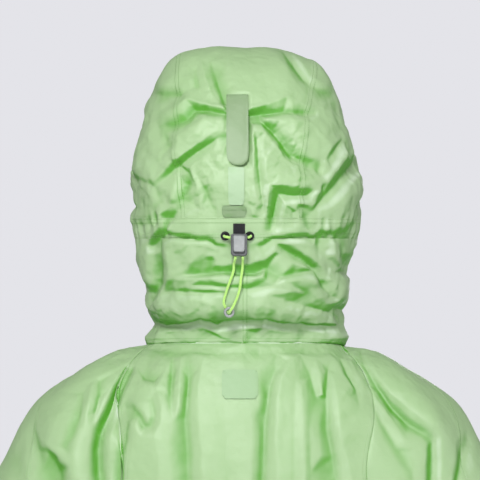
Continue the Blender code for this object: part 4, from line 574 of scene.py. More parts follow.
# ------------------------ finishes
class Bench:
    """One material's shader nodes, added and wired one by one."""

    def __init__(self, name: str) -> None:
        """Start a material with a plain shader.

        Args:
            name: Name of the material.
        """
        self.material = bpy.data.materials.new(name)
        self.material.use_nodes = True
        self.nodes = self.material.node_tree.nodes
        self.links = self.material.node_tree.links
        self.shader = self.nodes["Principled BSDF"]

    def add(self, kind: str, **settings: object) -> bpy.types.Node:
        """Add a node.

        Args:
            kind: Blender's name of the node's type, without its prefix.
            settings: Values of the node's settings.

        Returns:
            The node.
        """
        node = self.nodes.new(f"ShaderNode{kind}")
        for name, value in settings.items():
            setattr(node, name, value)
        return node

    def feed(self, socket: Socket, source: object) -> None:
        """Wire a source into a socket, or set its value.

        Args:
            socket: The input.
            source: An output to wire in, or a value.
        """
        if isinstance(source, Socket):
            self.links.new(source, socket)
        else:
            socket.default_value = source

    def sum(self, operation: str, *sources: object) -> Socket:
        """Do one sum on one to three sources.

        Args:
            operation: Blender's name of the sum.
            sources: Outputs or values, in order.

        Returns:
            The result.
        """
        node = self.add("Math", operation=operation)
        for socket, source in zip(node.inputs, sources):
            self.feed(socket, source)
        return node.outputs[0]

    def attribute(self, name: str) -> Socket:
        """Value that the piece's mesh holds under this name."""
        return self.add("Attribute", attribute_name=name).outputs["Fac"]

    def place(self) -> Socket:
        """Place on the object."""
        return self.add("TexCoord").outputs["Object"]

    def noise(self, scale: float, detail: float = 2.0) -> Socket:
        """Noise between 0 and 1 over the object.

        Args:
            scale: Cells to a metre.
            detail: How many finer layers it has.

        Returns:
            The noise.
        """
        node = self.add("TexNoise")
        self.feed(node.inputs["Vector"], self.place())
        node.inputs["Scale"].default_value = scale
        node.inputs["Detail"].default_value = detail
        return node.outputs["Fac"]

    def crinkle(self, scale: float) -> Socket:
        """Small flat facets of thin cloth, bent a little by a noise.

        Args:
            scale: Facets to a metre.

        Returns:
            Distance from each facet's middle.
        """
        bend = self.add("TexNoise")
        bend.inputs["Scale"].default_value = scale * 0.5
        self.feed(bend.inputs["Vector"], self.place())
        place = self.add("VectorMath", operation="MULTIPLY_ADD")
        self.feed(place.inputs[0], bend.outputs["Color"])
        place.inputs[1].default_value = (0.8 / scale,) * 3
        self.feed(place.inputs[2], self.place())
        cells = self.add("TexVoronoi", feature="F1")
        cells.inputs["Scale"].default_value = scale
        self.feed(cells.inputs["Vector"], place.outputs[0])
        return cells.outputs["Distance"]

    def between(self, source: object, low: float, high: float) -> Socket:
        """Soft rise from 0 to 1.

        Args:
            source: What is read.
            low: Its value where the rise is 0.
            high: Its value where the rise is 1.

        Returns:
            The rise.
        """
        node = self.add("MapRange", interpolation_type="SMOOTHSTEP")
        self.feed(node.inputs["Value"], source)
        node.inputs["From Min"].default_value = low
        node.inputs["From Max"].default_value = high
        return node.outputs["Result"]

    def line(self, source: object, at: float, half: float) -> Socket:
        """1 where the source is at this value, and 0 beyond half from it."""
        away = self.sum("ABSOLUTE", self.sum("SUBTRACT", source, at))
        return self.sum("SUBTRACT", 1.0, self.between(away, 0.0, half))

    def mix(self, share: object, low: object, high: object) -> Socket:
        """Colour between two colours.

        Args:
            share: How much of the high colour is in it.
            low: One colour or its socket.
            high: The other colour or its socket.

        Returns:
            The colour.
        """
        node = self.add("Mix", data_type="RGBA")
        self.feed(node.inputs[0], share)
        self.feed(node.inputs[6], low)
        self.feed(node.inputs[7], high)
        return node.outputs[2]

    def bump(self, height: object, deep: float, under: object = None) -> Socket:
        """Normal of a bumped surface.

        Args:
            height: Height of the surface, between 0 and 1.
            deep: Metres that it rises by where the height is 1.
            under: Normal of the surface that it lies on.

        Returns:
            The normal.
        """
        node = self.add("Bump")
        node.inputs["Strength"].default_value = 1.0
        node.inputs["Distance"].default_value = deep
        self.feed(node.inputs["Height"], height)
        if under is not None:
            self.feed(node.inputs["Normal"], under)
        return node.outputs["Normal"]

    def finish(self, colour: object, roughness: object, normal: object, **shine: float) -> Material:
        """Wire the shader and hand over the material.

        Args:
            colour: Colour or its socket.
            roughness: Value or its socket.
            normal: Socket of the bumped normal.
            shine: Values of the shader's other inputs, with _ for a space.

        Returns:
            The material.
        """
        self.feed(self.shader.inputs["Base Color"], colour)
        self.feed(self.shader.inputs["Roughness"], roughness)
        self.feed(self.shader.inputs["Normal"], normal)
        for name, value in shine.items():
            self.shader.inputs[name.replace("_", " ")].default_value = value
        return self.material


@dataclass(frozen=True)
class CoatedNylon:
    """Thin coated nylon: pale where it lies open, with painted shade in its creases and on slopes turned from the
    light, painted light on slopes turned towards it, and sewn seams.
    """

    name: str
    open_colour: Colour
    # Colour of painted shade, also used for the stitch rows and the reinforcement's edge; after it, the colour of
    # painted light.
    painted_shade_and_line_colour: Colour
    painted_light_colour: Colour
    roughness: float = 0.53
    gloss: float = 0.75
    stitch_rows: tuple[float, float] = (1.5, 5.8)
    stitch_half: float = 0.55
    welt: float = 6.6
    welt_edge: float = 0.7
    welt_deep: float = 0.0004
    cloud: tuple[float, float] = (24.0, 3.0)
    cloud_share: float = 0.35
    seam_share: float = 0.3
    painted_shade_span: tuple[float, float] = (-0.05, 1.0)
    painted_light_span: tuple[float, float] = (-0.1, -0.9)
    crinkles: tuple[float, float] = (120.0, 0.00022)
    grains: tuple[float, float] = (1500.0, 0.00006)
    unevenness: float = 0.1

    def make(self) -> Material:
        """Make the cloth's outer face.

        Returns:
            The finish. It reads the painted shade and painted light noted for each place, from how deep in a crease
            it lies and how it turns to the light, and how far it is from a seam.
        """
        bench = Bench(self.name)
        seam, crease = bench.attribute("seam"), bench.attribute("crease")
        cloud = bench.noise(*self.cloud)
        share = bench.sum("ADD", crease, bench.sum("MULTIPLY", bench.sum("SUBTRACT", cloud, 0.5), self.cloud_share))
        rows = [bench.line(seam, at, self.stitch_half) for at in self.stitch_rows]
        furrow = bench.sum("MAXIMUM", *rows)
        behind = bench.between(bench.attribute("behind"), BEHIND_REACH - 0.9, BEHIND_REACH)
        # Stitch rows and the edge of the reinforcement behind the back are drawn with the darker colour too.
        share = bench.sum("ADD", share, bench.sum("MULTIPLY", furrow, self.seam_share))
        share = bench.sum("ADD", share, bench.sum("MULTIPLY", behind, self.seam_share))
        # Painted shade where the crease value is high, painted light where it is below 0.
        colour = bench.mix(bench.between(share, *self.painted_shade_span), self.open_colour, self.painted_shade_and_line_colour)
        colour = bench.mix(bench.between(share, *self.painted_light_span), colour, self.painted_light_colour)
        crumple = bench.bump(bench.crinkle(self.crinkles[0]), self.crinkles[1])
        grain = bench.bump(bench.noise(self.grains[0], 1.0), self.grains[1], crumple)
        welt = bench.sum("SUBTRACT", 1.0, bench.between(seam, self.welt - self.welt_edge, self.welt))
        sewn = bench.bump(bench.sum("SUBTRACT", welt, bench.sum("MULTIPLY", furrow, 0.8)), self.welt_deep, grain)
        rough = bench.sum("ADD", self.roughness - self.unevenness / 2, bench.sum("MULTIPLY", cloud, self.unevenness))
        return bench.finish(colour, rough, sewn, Specular_IOR_Level=self.gloss)


@dataclass(frozen=True)
class Lining:
    """Matte inner face of the nylon, with tape over each sewn seam."""

    name: str = "coated_inner_face"
    colour: Colour = (0.30, 0.50, 0.22, 1)
    tape: Colour = (0.46, 0.56, 0.42, 1)
    shade: Colour = (0.16, 0.36, 0.09, 1)
    tape_half: float = 9.0
    tape_edge: float = 0.4
    tape_deep: float = 0.0003
    cloud: tuple[float, float] = (30.0, 3.0)
    cloud_share: float = 0.25
    crumple: tuple[float, float] = (110.0, 5.0)
    crumple_deep: float = 0.0009
    roughness: float = 0.62

    def make(self) -> Material:
        """Make the cloth's inner face.

        Returns:
            The finish. It reads how far each place is from a sewn seam.
        """
        bench = Bench(self.name)
        off_tape = bench.between(bench.attribute("sewn"), self.tape_half - self.tape_edge, self.tape_half)
        taped = bench.sum("SUBTRACT", 1.0, off_tape)
        cloud = bench.noise(*self.cloud)
        colour = bench.mix(taped, self.colour, self.tape)
        colour = bench.mix(bench.sum("MULTIPLY", cloud, self.cloud_share), colour, self.shade)
        normal = bench.bump(bench.noise(*self.crumple), self.crumple_deep)
        normal = bench.bump(taped, self.tape_deep, normal)
        return bench.finish(colour, self.roughness, normal, Specular_IOR_Level=0.4)


@dataclass(frozen=True)
class Woven:
    """Narrow woven cloth, such as webbing and zip tape: ribs across and a twill between them."""

    name: str
    colour: Colour
    lit: Colour
    rib: float = 1.1
    twill_share: float = 0.8
    fuzz: float = 900.0
    deep: float = 0.00025
    roughness: float = 0.75

    def make(self) -> Material:
        """Make the woven finish.

        Returns:
            The finish.
        """
        bench = Bench(self.name)
        apart = bench.add("SeparateXYZ")
        bench.feed(apart.inputs[0], bench.place())
        turn = 2 * math.pi / (self.rib * MM)
        across = bench.sum("SINE", bench.sum("MULTIPLY", apart.outputs[2], turn))
        along = bench.sum("SINE", bench.sum("MULTIPLY", apart.outputs[0], turn * self.twill_share))
        weave = bench.sum("MULTIPLY_ADD", bench.sum("MULTIPLY", across, along), 0.5, 0.5)
        colour = bench.mix(bench.sum("MULTIPLY", weave, bench.noise(self.fuzz)), self.colour, self.lit)
        normal = bench.bump(weave, self.deep)
        return bench.finish(colour, self.roughness, normal, Specular_IOR_Level=0.3, Sheen_Weight=0.3)


@dataclass(frozen=True)
class Braid:
    """Round braided elastic: crossing strands on the cord's own map, with painted shade in the grooves between them.
    """

    name: str = "braided_elastic"
    bright: Colour = (0.60, 0.98, 0.25, 1)
    painted_shade_between_strands: Colour = (0.24, 0.52, 0.05, 1)
    strands: int = 8
    pitch: float = 1.3
    deep: float = 0.0003
    roughness: float = 0.6

    def make(self) -> Material:
        """Make the braided finish.

        Returns:
            The finish.
        """
        bench = Bench(self.name)
        apart = bench.add("SeparateXYZ")
        bench.feed(apart.inputs[0], bench.add("TexCoord").outputs["UV"])
        turn = 2 * math.pi
        around = bench.sum("MULTIPLY", apart.outputs[0], turn * self.strands)
        along = bench.sum("MULTIPLY", apart.outputs[1], turn * self.strands / self.pitch)
        one = bench.sum("SINE", bench.sum("ADD", around, along))
        other = bench.sum("SINE", bench.sum("SUBTRACT", around, along))
        weave = bench.sum("MULTIPLY_ADD", bench.sum("MAXIMUM", one, other), 0.5, 0.5)
        # Painted shade in the grooves between the strands; the strands keep the cord's bright colour.
        colour = bench.mix(weave, self.painted_shade_between_strands, self.bright)
        normal = bench.bump(weave, self.deep)
        return bench.finish(colour, self.roughness, normal, Specular_IOR_Level=0.4, Sheen_Weight=0.4)


@dataclass(frozen=True)
class MouldedPlastic:
    """Moulded plastic with a fine spark texture."""

    name: str
    colour: Colour
    worn: Colour
    roughness: float = 0.38
    gloss: float = 0.6
    unevenness: float = 0.12
    cloud: tuple[float, float] = (160.0, 4.0)
    worn_span: tuple[float, float] = (0.3, 0.8)
    spark: tuple[float, float] = (2600.0, 0.00006)

    def make(self) -> Material:
        """Make the moulded finish.

        Returns:
            The finish.
        """
        bench = Bench(self.name)
        cloud = bench.noise(*self.cloud)
        spark = bench.bump(bench.noise(self.spark[0]), self.spark[1])
        rough = bench.sum("ADD", self.roughness - self.unevenness / 2, bench.sum("MULTIPLY", cloud, self.unevenness))
        colour = bench.mix(bench.between(cloud, *self.worn_span), self.colour, self.worn)
        return bench.finish(colour, rough, spark, Specular_IOR_Level=self.gloss)


@dataclass(frozen=True)
class Thread:
    """Sewing thread, twisted."""

    name: str = "sewing_thread"
    colour: Colour = (0.30, 0.52, 0.20, 1)
    lit: Colour = (0.44, 0.66, 0.32, 1)
    twist: float = 2200.0
    deep: float = 0.0001
    roughness: float = 0.55

    def make(self) -> Material:
        """Make the thread's finish.

        Returns:
            The finish.
        """
        bench = Bench(self.name)
        twist = bench.noise(self.twist, 1.0)
        colour = bench.mix(twist, self.colour, self.lit)
        return bench.finish(colour, self.roughness, bench.bump(twist, self.deep), Specular_IOR_Level=0.4)


# The colours of each nylon: lying open, painted shade in a crease, and painted light where it faces the light.
SHELL_NYLON = CoatedNylon("coated_nylon", (0.335, 0.50, 0.255, 1), (0.08, 0.33, 0.015, 1), (0.54, 0.66, 0.50, 1))
TAB_NYLON = CoatedNylon(
    "doubled_nylon", (0.205, 0.315, 0.155, 1), (0.12, 0.34, 0.05, 1), (0.40, 0.52, 0.35, 1), roughness=0.52
)
PALE_NYLON = CoatedNylon(
    "pale_nylon", (0.355, 0.515, 0.31, 1), (0.22, 0.50, 0.14, 1), (0.48, 0.66, 0.43, 1), roughness=0.55
)
BARE_PATCH = CoatedNylon(
    "bare_patch", (0.33, 0.49, 0.28, 1), (0.20, 0.40, 0.10, 1), (0.46, 0.60, 0.40, 1), roughness=0.6, gloss=0.4
)
# The colours of each plastic: moulded, and rubbed paler.
LOCK_GREY = MouldedPlastic("lock_grey", (0.07, 0.075, 0.08, 1), (0.118, 0.125, 0.13, 1), 0.42)
PLATE_GREY = MouldedPlastic("plate_grey", (0.26, 0.275, 0.28, 1), (0.36, 0.375, 0.38, 1), 0.3)
# Near-black eyelets; the same finish on the discs in their holes is painted shade.
EYELET_DARK = MouldedPlastic("eyelet_dark", (0.008, 0.009, 0.01, 1), (0.03, 0.031, 0.033, 1), 0.55, 0.2)
ZIP_GREEN = MouldedPlastic("zip_green", (0.20, 0.42, 0.10, 1), (0.28, 0.52, 0.16, 1))
ZIP_GREY = MouldedPlastic("zip_grey", (0.16, 0.17, 0.18, 1), (0.24, 0.25, 0.26, 1), 0.3)
BLACK_WEBBING = Woven("black_webbing", (0.006, 0.006, 0.008, 1), (0.035, 0.035, 0.04, 1))
ZIP_TAPE = Woven("zip_tape_green", (0.16, 0.36, 0.08, 1), (0.28, 0.50, 0.18, 1))


# ------------------------ cloth
@dataclass
class Panel:
    """One cut piece of cloth: its node, how fine its mesh is, and the flat piece it was cut from."""

    node: str
    flat: tuple[float, float]
    area: float | None = None
    held: str = "draped"
    level: int = 3
    slot: Slot = Slot.SHELL
    thick: float = 0.6
    rests_on: tuple[str, ...] = ()
    fine_above: float | None = None
    corner: float = 0.0
    merge: float = 1e-5
    any_shape: float = 3.1
    points: np.ndarray = field(default=None, repr=False)
    normals: np.ndarray = field(default=None, repr=False)
    edges: list[np.ndarray] = field(default_factory=list, repr=False)
    piece: bpy.types.Object = field(default=None, repr=False)

    def cut(self, split_angle: float = 55.0) -> None:
        """Take the outer face of the node and smooth it.

        Args:
            split_angle: Degrees between faces where the outer face ends.
        """
        shape = bmesh.new()
        shape.from_mesh(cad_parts[self.node].data)
        bmesh.ops.remove_doubles(shape, verts=shape.verts, dist=self.merge)
        keep = largest_region(shape, math.radians(split_angle))
        bmesh.ops.delete(shape, geom=[face for face in shape.faces if face not in keep], context="FACES")
        bmesh.ops.join_triangles(
            shape, faces=shape.faces, angle_face_threshold=self.any_shape, angle_shape_threshold=self.any_shape
        )
        for face in shape.faces:
            face.smooth = True
            face.material_index = 0
        mesh = bpy.data.meshes.new(f"{self.node}_cloth")
        shape.to_mesh(mesh)
        shape.free()
        self.piece = new_piece(f"{self.node}_cloth", mesh)
        apply_modifier(
            self.piece, "SUBSURF", levels=self.level, render_levels=self.level, boundary_smooth="PRESERVE_CORNERS"
        )
        if self.fine_above is not None:
            self.refine()
        self.read()
        if self.corner:
            self.round_corners()

    def refine(self) -> None:
        """Halve the mesh's faces where the cloth is seen from near."""
        shape = bmesh.new()
        shape.from_mesh(self.piece.data)
        high = [face for face in shape.faces if min(vertex.co.z for vertex in face.verts) > self.fine_above * MM]
        edges = list({edge for face in high for edge in face.edges})
        bmesh.ops.subdivide_edges(shape, edges=edges, cuts=1, use_grid_fill=True)
        shape.to_mesh(self.piece.data)
        shape.free()

    def round_corners(self) -> None:
        """Round the corners of an upright rectangle of cloth."""
        flat = self.points[:, (0, 2)]
        inner = np.clip(flat, flat.min(0) + self.corner, flat.max(0) - self.corner)
        out = flat - inner
        share = np.abs(out).max(1) / np.maximum(np.linalg.norm(out, axis=1), 1e-9)
        self.points[:, (0, 2)] = inner + out * share[:, None]
        self.write()
        self.read()

    def read(self) -> None:
        """Note the places and normals of the cloth, and its edges in order."""
        mesh = self.piece.data
        flat = np.zeros(len(mesh.vertices) * 3)
        mesh.vertices.foreach_get("co", flat)
        self.points = flat.reshape(-1, 3) / MM
        mesh.vertex_normals.foreach_get("vector", flat)
        self.normals = flat.reshape(-1, 3).copy()
        self.edges = border_loops(mesh)

    def write(self) -> None:
        """Put the places back into the mesh."""
        self.piece.data.vertices.foreach_set("co", (self.points * MM).ravel())
        self.piece.data.update()

    def border(self, step: float = 1.0, values: np.ndarray | None = None) -> np.ndarray:
        """Read even places on all its edges.

        Args:
            step: About how far apart they are.
            values: What is read there for each point of the mesh, if not its place.

        Returns:
            The places or the values, one row each.
        """
        found = []
        values = self.points if values is None else values
        for loop in self.edges:
            closed = np.append(loop, loop[0])
            run = run_along(self.points[closed])
            at = np.arange(0, run[-1], step)
            found.append(np.stack([np.interp(at, run, values[closed, axis]) for axis in range(3)], axis=1))
        return np.vstack(found)

    def note(self, name: str, values: np.ndarray) -> None:
        """Keep a value for each point of the mesh, for the finishes.

        Args:
            name: What the finishes call it.
            values: The values.
        """
        held = self.piece.data.attributes.new(name, "FLOAT", "POINT")
        held.data.foreach_set("value", values.astype(np.float32))

    def finish(self, materials: Sequence[Material], smooth_angle: float | None = None) -> None:
        """Make the cloth as thick as it is, finish it, hide its solid and let it ride on the jacket.

        Args:
            materials: Finish of the outer face, and of the inner one where it has its own.
            smooth_angle: Degrees between faces above which an edge is sharp, where any is.
        """
        apply_modifier(
            self.piece, "SOLIDIFY", thickness=self.thick * MM, offset=-1.0, use_rim=True,
            material_offset=len(materials) - 1,
        )
        wear(self.piece, materials)
        if smooth_angle is not None:
            bpy.ops.object.shade_smooth_by_angle(angle=math.radians(smooth_angle))
        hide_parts(self.node)
        settle(self.piece, "jacket", self.slot)
        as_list(self.rests_on)


def largest_region(shape: bmesh.types.BMesh, sharp: float) -> set[bmesh.types.BMFace]:
    """The largest group of faces with no sharp edge inside it.

    Args:
        shape: The closed mesh of a solid.
        sharp: Angle in radians above which an edge divides two groups.

    Returns:
        The faces of the group.
    """
    seen: set[bmesh.types.BMFace] = set()
    best, best_area = set(), 0.0
    for start in shape.faces:
        if start in seen:
            continue
        seen.add(start)
        group = [start]
        for face in group:
            for edge in face.edges:
                if edge.calc_face_angle(0.0) > sharp:
                    continue
                for other in edge.link_faces:
                    if other not in seen:
                        seen.add(other)
                        group.append(other)
        area = sum(face.calc_area() for face in group)
        if area > best_area:
            best, best_area = set(group), area
    return best


def border_loops(mesh: bpy.types.Mesh) -> list[np.ndarray]:
    """Find the open edges of a mesh.

    Args:
        mesh: The mesh.

    Returns:
        The point numbers along each closed run of open edges.
    """
    uses: dict[tuple[int, int], int] = {}
    for face in mesh.polygons:
        for key in face.edge_keys:
            uses[key] = uses.get(key, 0) + 1
    beside: dict[int, list[int]] = {}
    for (a, b), count in uses.items():
        if count == 1:
            beside.setdefault(a, []).append(b)
            beside.setdefault(b, []).append(a)
    loops = []
    while beside:
        here = min(beside)
        loop = []
        while here in beside:
            loop.append(here)
            onward = [other for other in beside.pop(here) if other in beside]
            if not onward:
                break
            here = onward[0]
        loops.append(np.array(loop))
    return loops


@dataclass
class FoldField:
    """Height of the back's folds over the plane that they are seen in, in steps of a millimetre.

    A strength is the share of the height that a ridge and a valley keep. Below the chest the cloth hangs loose.
    """

    low: tuple[float, float] = (-430.0, -770.0)
    high: tuple[float, float] = (430.0, 360.0)
    hood_blur: float = 0.6
    body_blur: float = 0.9
    loose_blur: float = 8.0
    loose_shrink: float = 0.6
    wander: tuple[float, float, float] = (9.0, 58.0, 35.0)
    wander_span: tuple[float, float] = (165.0, 300.0)
    seen_span: tuple[float, float] = (-0.05, 0.25)
    hood_strength: tuple[float, float] = (0.85, 1.0)
    body_strength: tuple[float, float] = (0.5, 0.75)
    neck_span: tuple[float, float] = (-22.0, 4.0)
    loose_span: tuple[float, float] = (165.0, 260.0)
    shrink_span: tuple[float, float] = (220.0, 520.0)
    body_plane: float = 60.0
    hood_plane: float = 110.0
    plane_span: tuple[float, float] = (-20.0, 10.0)
    eye: tuple[float, float, float] = (2.0, 2600.0, 117.0)
    grid: np.ndarray = field(default=None, repr=False)

    def __post_init__(self) -> None:
        """Span flat facets between all fold lines and soften them."""
        spots, edges = [], []
        for line in HOOD_FOLDS + BODY_FOLDS:
            edges += [(len(spots) + k, len(spots) + k + 1) for k in range(len(line) - 1)]
            spots += line
        spots += STILL_RIM
        given = np.array(spots, float)
        flat = [Vector(spot[:2]) for spot in spots]
        found, _, faces, origins, _, _ = geometry.delaunay_2d_cdt(flat, edges, [], 0, 1e-4)
        places = np.array([tuple(spot) for spot in found])
        height = np.zeros(len(places))
        for index, origin in enumerate(origins):
            away = np.linalg.norm(given[:, :2] - places[index], axis=1) + 0.1
            near = np.argsort(away)[:3]
            height[index] = given[origin[0], 2] if origin else np.average(given[near, 2], weights=1 / away[near])
        size = np.subtract(self.high, self.low).astype(int) + 1
        grid = np.zeros(size)
        for face in faces:
            self.fill(grid, places[list(face)] - self.low, height[list(face)])
        z = np.arange(size[1]) + self.low[1]
        body = 1 - smooth_step(*self.neck_span, z)
        hood_part = self.soften(grid * np.where(grid > 0, *self.hood_strength), self.hood_blur)
        worn = grid * np.where(grid > 0, *self.body_strength)
        loose = smooth_step(*self.loose_span, -z)
        shrink = self.loose_shrink * smooth_step(*self.shrink_span, -z)
        loose_part = self.soften(worn, self.loose_blur) * (1 - shrink)
        body_part = self.soften(worn, self.body_blur) * (1 - loose) + loose_part * loose
        self.grid = hood_part * (1 - body) + body_part * body

    def fill(self, grid: np.ndarray, corners: np.ndarray, height: np.ndarray) -> None:
        """Write one flat facet into the grid.

        Args:
            grid: The grid.
            corners: The facet's three corners on it.
            height: Height at each corner.
        """
        first = np.maximum(np.floor(corners.min(0)).astype(int), 0)
        last = np.minimum(np.ceil(corners.max(0)).astype(int) + 1, grid.shape)
        (ax, az), (bx, bz), (cx, cz) = corners
        whole = (bx - ax) * (cz - az) - (cx - ax) * (bz - az)
        if abs(whole) < 1e-6:
            return
        x, z = np.meshgrid(np.arange(first[0], last[0]), np.arange(first[1], last[1]), indexing="ij")
        b = ((x - ax) * (cz - az) - (cx - ax) * (z - az)) / whole
        c = ((bx - ax) * (z - az) - (x - ax) * (bz - az)) / whole
        inside = (b >= -1e-6) & (c >= -1e-6) & (b + c <= 1 + 1e-6)
        level = height[0] + b * (height[1] - height[0]) + c * (height[2] - height[0])
        part = grid[first[0] : last[0], first[1] : last[1]]
        part[inside] = level[inside]

    def soften(self, grid: np.ndarray, blur: float) -> np.ndarray:
        """Round a grid's edges over.

        Args:
            grid: The grid.
            blur: About how many millimetres they are rounded over.

        Returns:
            The rounded grid.
        """
        reach = np.arange(-math.ceil(3 * blur), math.ceil(3 * blur) + 1)
        weights = np.exp(-((reach / blur) ** 2) / 2)
        weights /= weights.sum()
        for axis in (0, 1):
            grid = np.apply_along_axis(np.convolve, axis, grid, weights, "same")
        return grid

    def heights(self, points: np.ndarray, normals: np.ndarray) -> np.ndarray:
        """How far the folds push each point out along its normal.

        Args:
            points: Places of the cloth.
            normals: Their outward normals.

        Returns:
            A height for each place.
        """
        seen = smooth_step(*self.seen_span, normals[:, 1])
        deeper = (self.hood_plane - self.body_plane) * smooth_step(*self.plane_span, points[:, 2])
        read_at = self.body_plane + deeper
        nearer = (self.eye[1] - read_at) / (self.eye[1] - points[:, 1])
        read = self.eye + (points - self.eye) * nearer[:, None]
        aside, down, across = self.wander
        drift = smooth_step(*self.wander_span, -read[:, 2]) * np.sin(read[:, 2] / down + read[:, 0] / across)
        read[:, 0] += aside * drift
        place = np.clip(read[:, (0, 2)] - self.low, 0, np.subtract(self.high, self.low) - 1.001)
        corner = place.astype(int)
        share = place - corner
        level = np.zeros(len(points))
        for dx in (0, 1):
            for dz in (0, 1):
                weight = np.abs(1 - dx - share[:, 0]) * np.abs(1 - dz - share[:, 1])
                level += weight * self.grid[corner[:, 0] + dx, corner[:, 1] + dz]
        return level * seen


@dataclass
class RainShell:
    """All cloth of the jacket. A seam belongs to the piece that comes first in its list of panels."""

    panels: tuple[Panel, ...] = (
        Panel("hood_channel", (0.60, 0.032), 0.018, "gathered", 2),
        Panel("hood_side_left", (0.26, 0.24), 0.047),
        Panel("hood_side_right", (0.26, 0.24), 0.047),
        Panel("hood_neck_right", (0.36, 0.18), 0.053),
        Panel("hood_neck_left", (0.36, 0.18), 0.053),
        Panel("back", (0.50, 0.76), 0.365, fine_above=-60.0),
        Panel("front_left", (0.26, 0.73), 0.168, level=2, fine_above=-110.0),
        Panel("front_right", (0.26, 0.73), 0.168, level=2, fine_above=-110.0),
        Panel("sleeve_back_left", (0.20, 0.80), 0.088, fine_above=-90.0),
        Panel("sleeve_back_right", (0.20, 0.80), 0.088, fine_above=-90.0),
        Panel("sleeve_front_left", (0.34, 0.80), 0.205, level=2),
        Panel("sleeve_front_right", (0.34, 0.80), 0.205, level=2),
        Panel("hood_centre", (0.16, 0.55), 0.064, level=4),
    )
    strips: tuple[Panel, ...] = (
        Panel("hood_tab", (0.025, 0.08), 0.0019, "hung", 2, Slot.TAB, 0.7, ("hood_centre_cloth",)),
        Panel("loop_strip", (0.018, 0.043), 0.00075, "laid", 3, Slot.PALE, 0.6, ("hood_centre_cloth",)),
        Panel("hem_patch", (0.028, 0.0124), 0.00034, "laid", 3, Slot.TAB, 0.6, ("hood_centre_cloth",), corner=2.5),
        Panel("back_patch", (0.041, 0.032), 0.0013, "laid", 3, Slot.SHELL, 0.6, ("back_cloth",), corner=5.0),
    )
    ease_span: tuple[float, float] = (0.35, 0.95)
    ease_within: float = 150.0
    seam_reach: float = 1.8
    join_reach: float = 5.0
    # Painted shade and painted light noted for the nylon: the side the light comes from, and how much shade slopes
    # turned from it, deep creases and downward faces take.
    light_side: tuple[float, float, float] = (0.37, 0.72, 0.59)
    shade_share: float = 1.5
    crease_shade_share: float = 0.76
    crease_shade_depth: float = 3.4
    under_shade_share: float = 0.5
    under_shade_span: tuple[float, float] = (0.1, 0.7)
    head_axis_y: float = -10.0
    channel_z: float = 130.0
    behind: tuple[float, float, float, float] = (-17.0, 19.0, -129.0, -75.0)
    gathers: tuple[float, float, float] = (34.0, 132.0, 16.0)
    gather_height: float = 0.7
    gather_within: tuple[float, float] = (140.0, 60.0)
    channel_half: float = 9.0
    groove: tuple[float, float] = (-0.22, 2.0)
    tab_length: float = 80.0
    tab_right: tuple[float, float] = (18.0, 26.0)
    tab_stand: tuple[float, float] = (1.2, 2.6)
    smooth_angle: float = 62.0

    def build(self, finishes: dict[Slot, Material], lining: Material, plain: Material) -> None:
        """Cut, crease and finish every cloth piece.

        Args:
            finishes: Outer finish of each slot.
            lining: Finish of the inner faces.
            plain: Finish of the bare patch.
        """
        for panel in self.panels + self.strips:
            panel.cut()
        for panel in self.panels:
            self.ease(panel)
        self.join_edges(self.join_reach)
        self.join_normals()
        self.note_seams()
        folds = FoldField()
        for panel in self.panels + self.strips[1:]:
            self.crease(panel, folds)
        self.hang_tab(self.strips[0])
        self.join_edges(2 * self.join_reach)
        for panel in self.panels:
            panel.write()
        for panel in self.panels + self.strips:
            outer = plain if panel.node == "back_patch" else finishes[panel.slot]
            panel.finish((outer, lining if panel in self.panels else outer), self.smooth_angle)

    def ease(self, panel: Panel) -> None:
        """Let the hood stand out at its sides as it is worn.

        Args:
            panel: The piece that is moved.
        """
        z = panel.points[:, 2]
        left = np.interp(z, HOOD_EASE[0], HOOD_EASE[1])
        right = np.interp(z, HOOD_EASE[0], HOOD_EASE[2])
        turned = smooth_step(*self.ease_span, np.abs(panel.normals[:, 0]))
        turned = turned * (np.abs(panel.points[:, 0]) < self.ease_within)
        panel.points[:, 0] += turned * np.where(panel.points[:, 0] > 0, left, -right)

    def join_edges(self, reach: float) -> None:
        """Bring the edges of pieces that are sewn together onto one line: halfway first, then onto the coarser.

        Args:
            reach: How far apart two edges that belong together may lie.
        """
        spacing = [len(panel.border()) / len(np.concatenate(panel.edges)) for panel in self.panels]
        for share in (0.5, 1.0):
            owner, every = together([panel.border(0.3) for panel in self.panels])
            tree = tree_of(every)
            for number, panel in enumerate(self.panels):
                edge = np.concatenate(panel.edges)
                moved = panel.points.copy()
                for index in edge[~in_opening(panel.points[edge])]:
                    place = panel.points[index]
                    near = [(gap, i) for _, i, gap in tree.find_range(place, reach) if owner[i] != number]
                    if share == 1.0:
                        near = [(gap, i) for gap, i in near if spacing[owner[i]] > spacing[number]]
                    if near:
                        moved[index] = place + (every[min(near)[1]] - place) * share
                panel.points = moved

    def join_normals(self) -> None:
        """Share the normals of pieces that meet at a seam, so that they stay together when creased."""
        owner, every = together([panel.border(0.5) for panel in self.panels])
        normals = np.vstack([panel.border(0.5, panel.normals) for panel in self.panels])
        tree = tree_of(every)
        shared = []
        for panel in self.panels:
            joined = panel.normals.copy()
            for index in np.concatenate(panel.edges):
                near = [i for _, i, _ in tree.find_range(panel.points[index], self.seam_reach)]
                sides = [[i for i in near if owner[i] == other] for other in set(owner[near])]
                means = [np.mean(normals[side], axis=0) for side in sides]
                alike = [unit(mean) for mean in means if np.dot(mean, panel.normals[index]) > 0]
                if alike:
                    joined[index] = unit(np.sum(alike, axis=0))
            shared.append(joined)
        for panel, joined in zip(self.panels, shared):
            panel.normals = joined

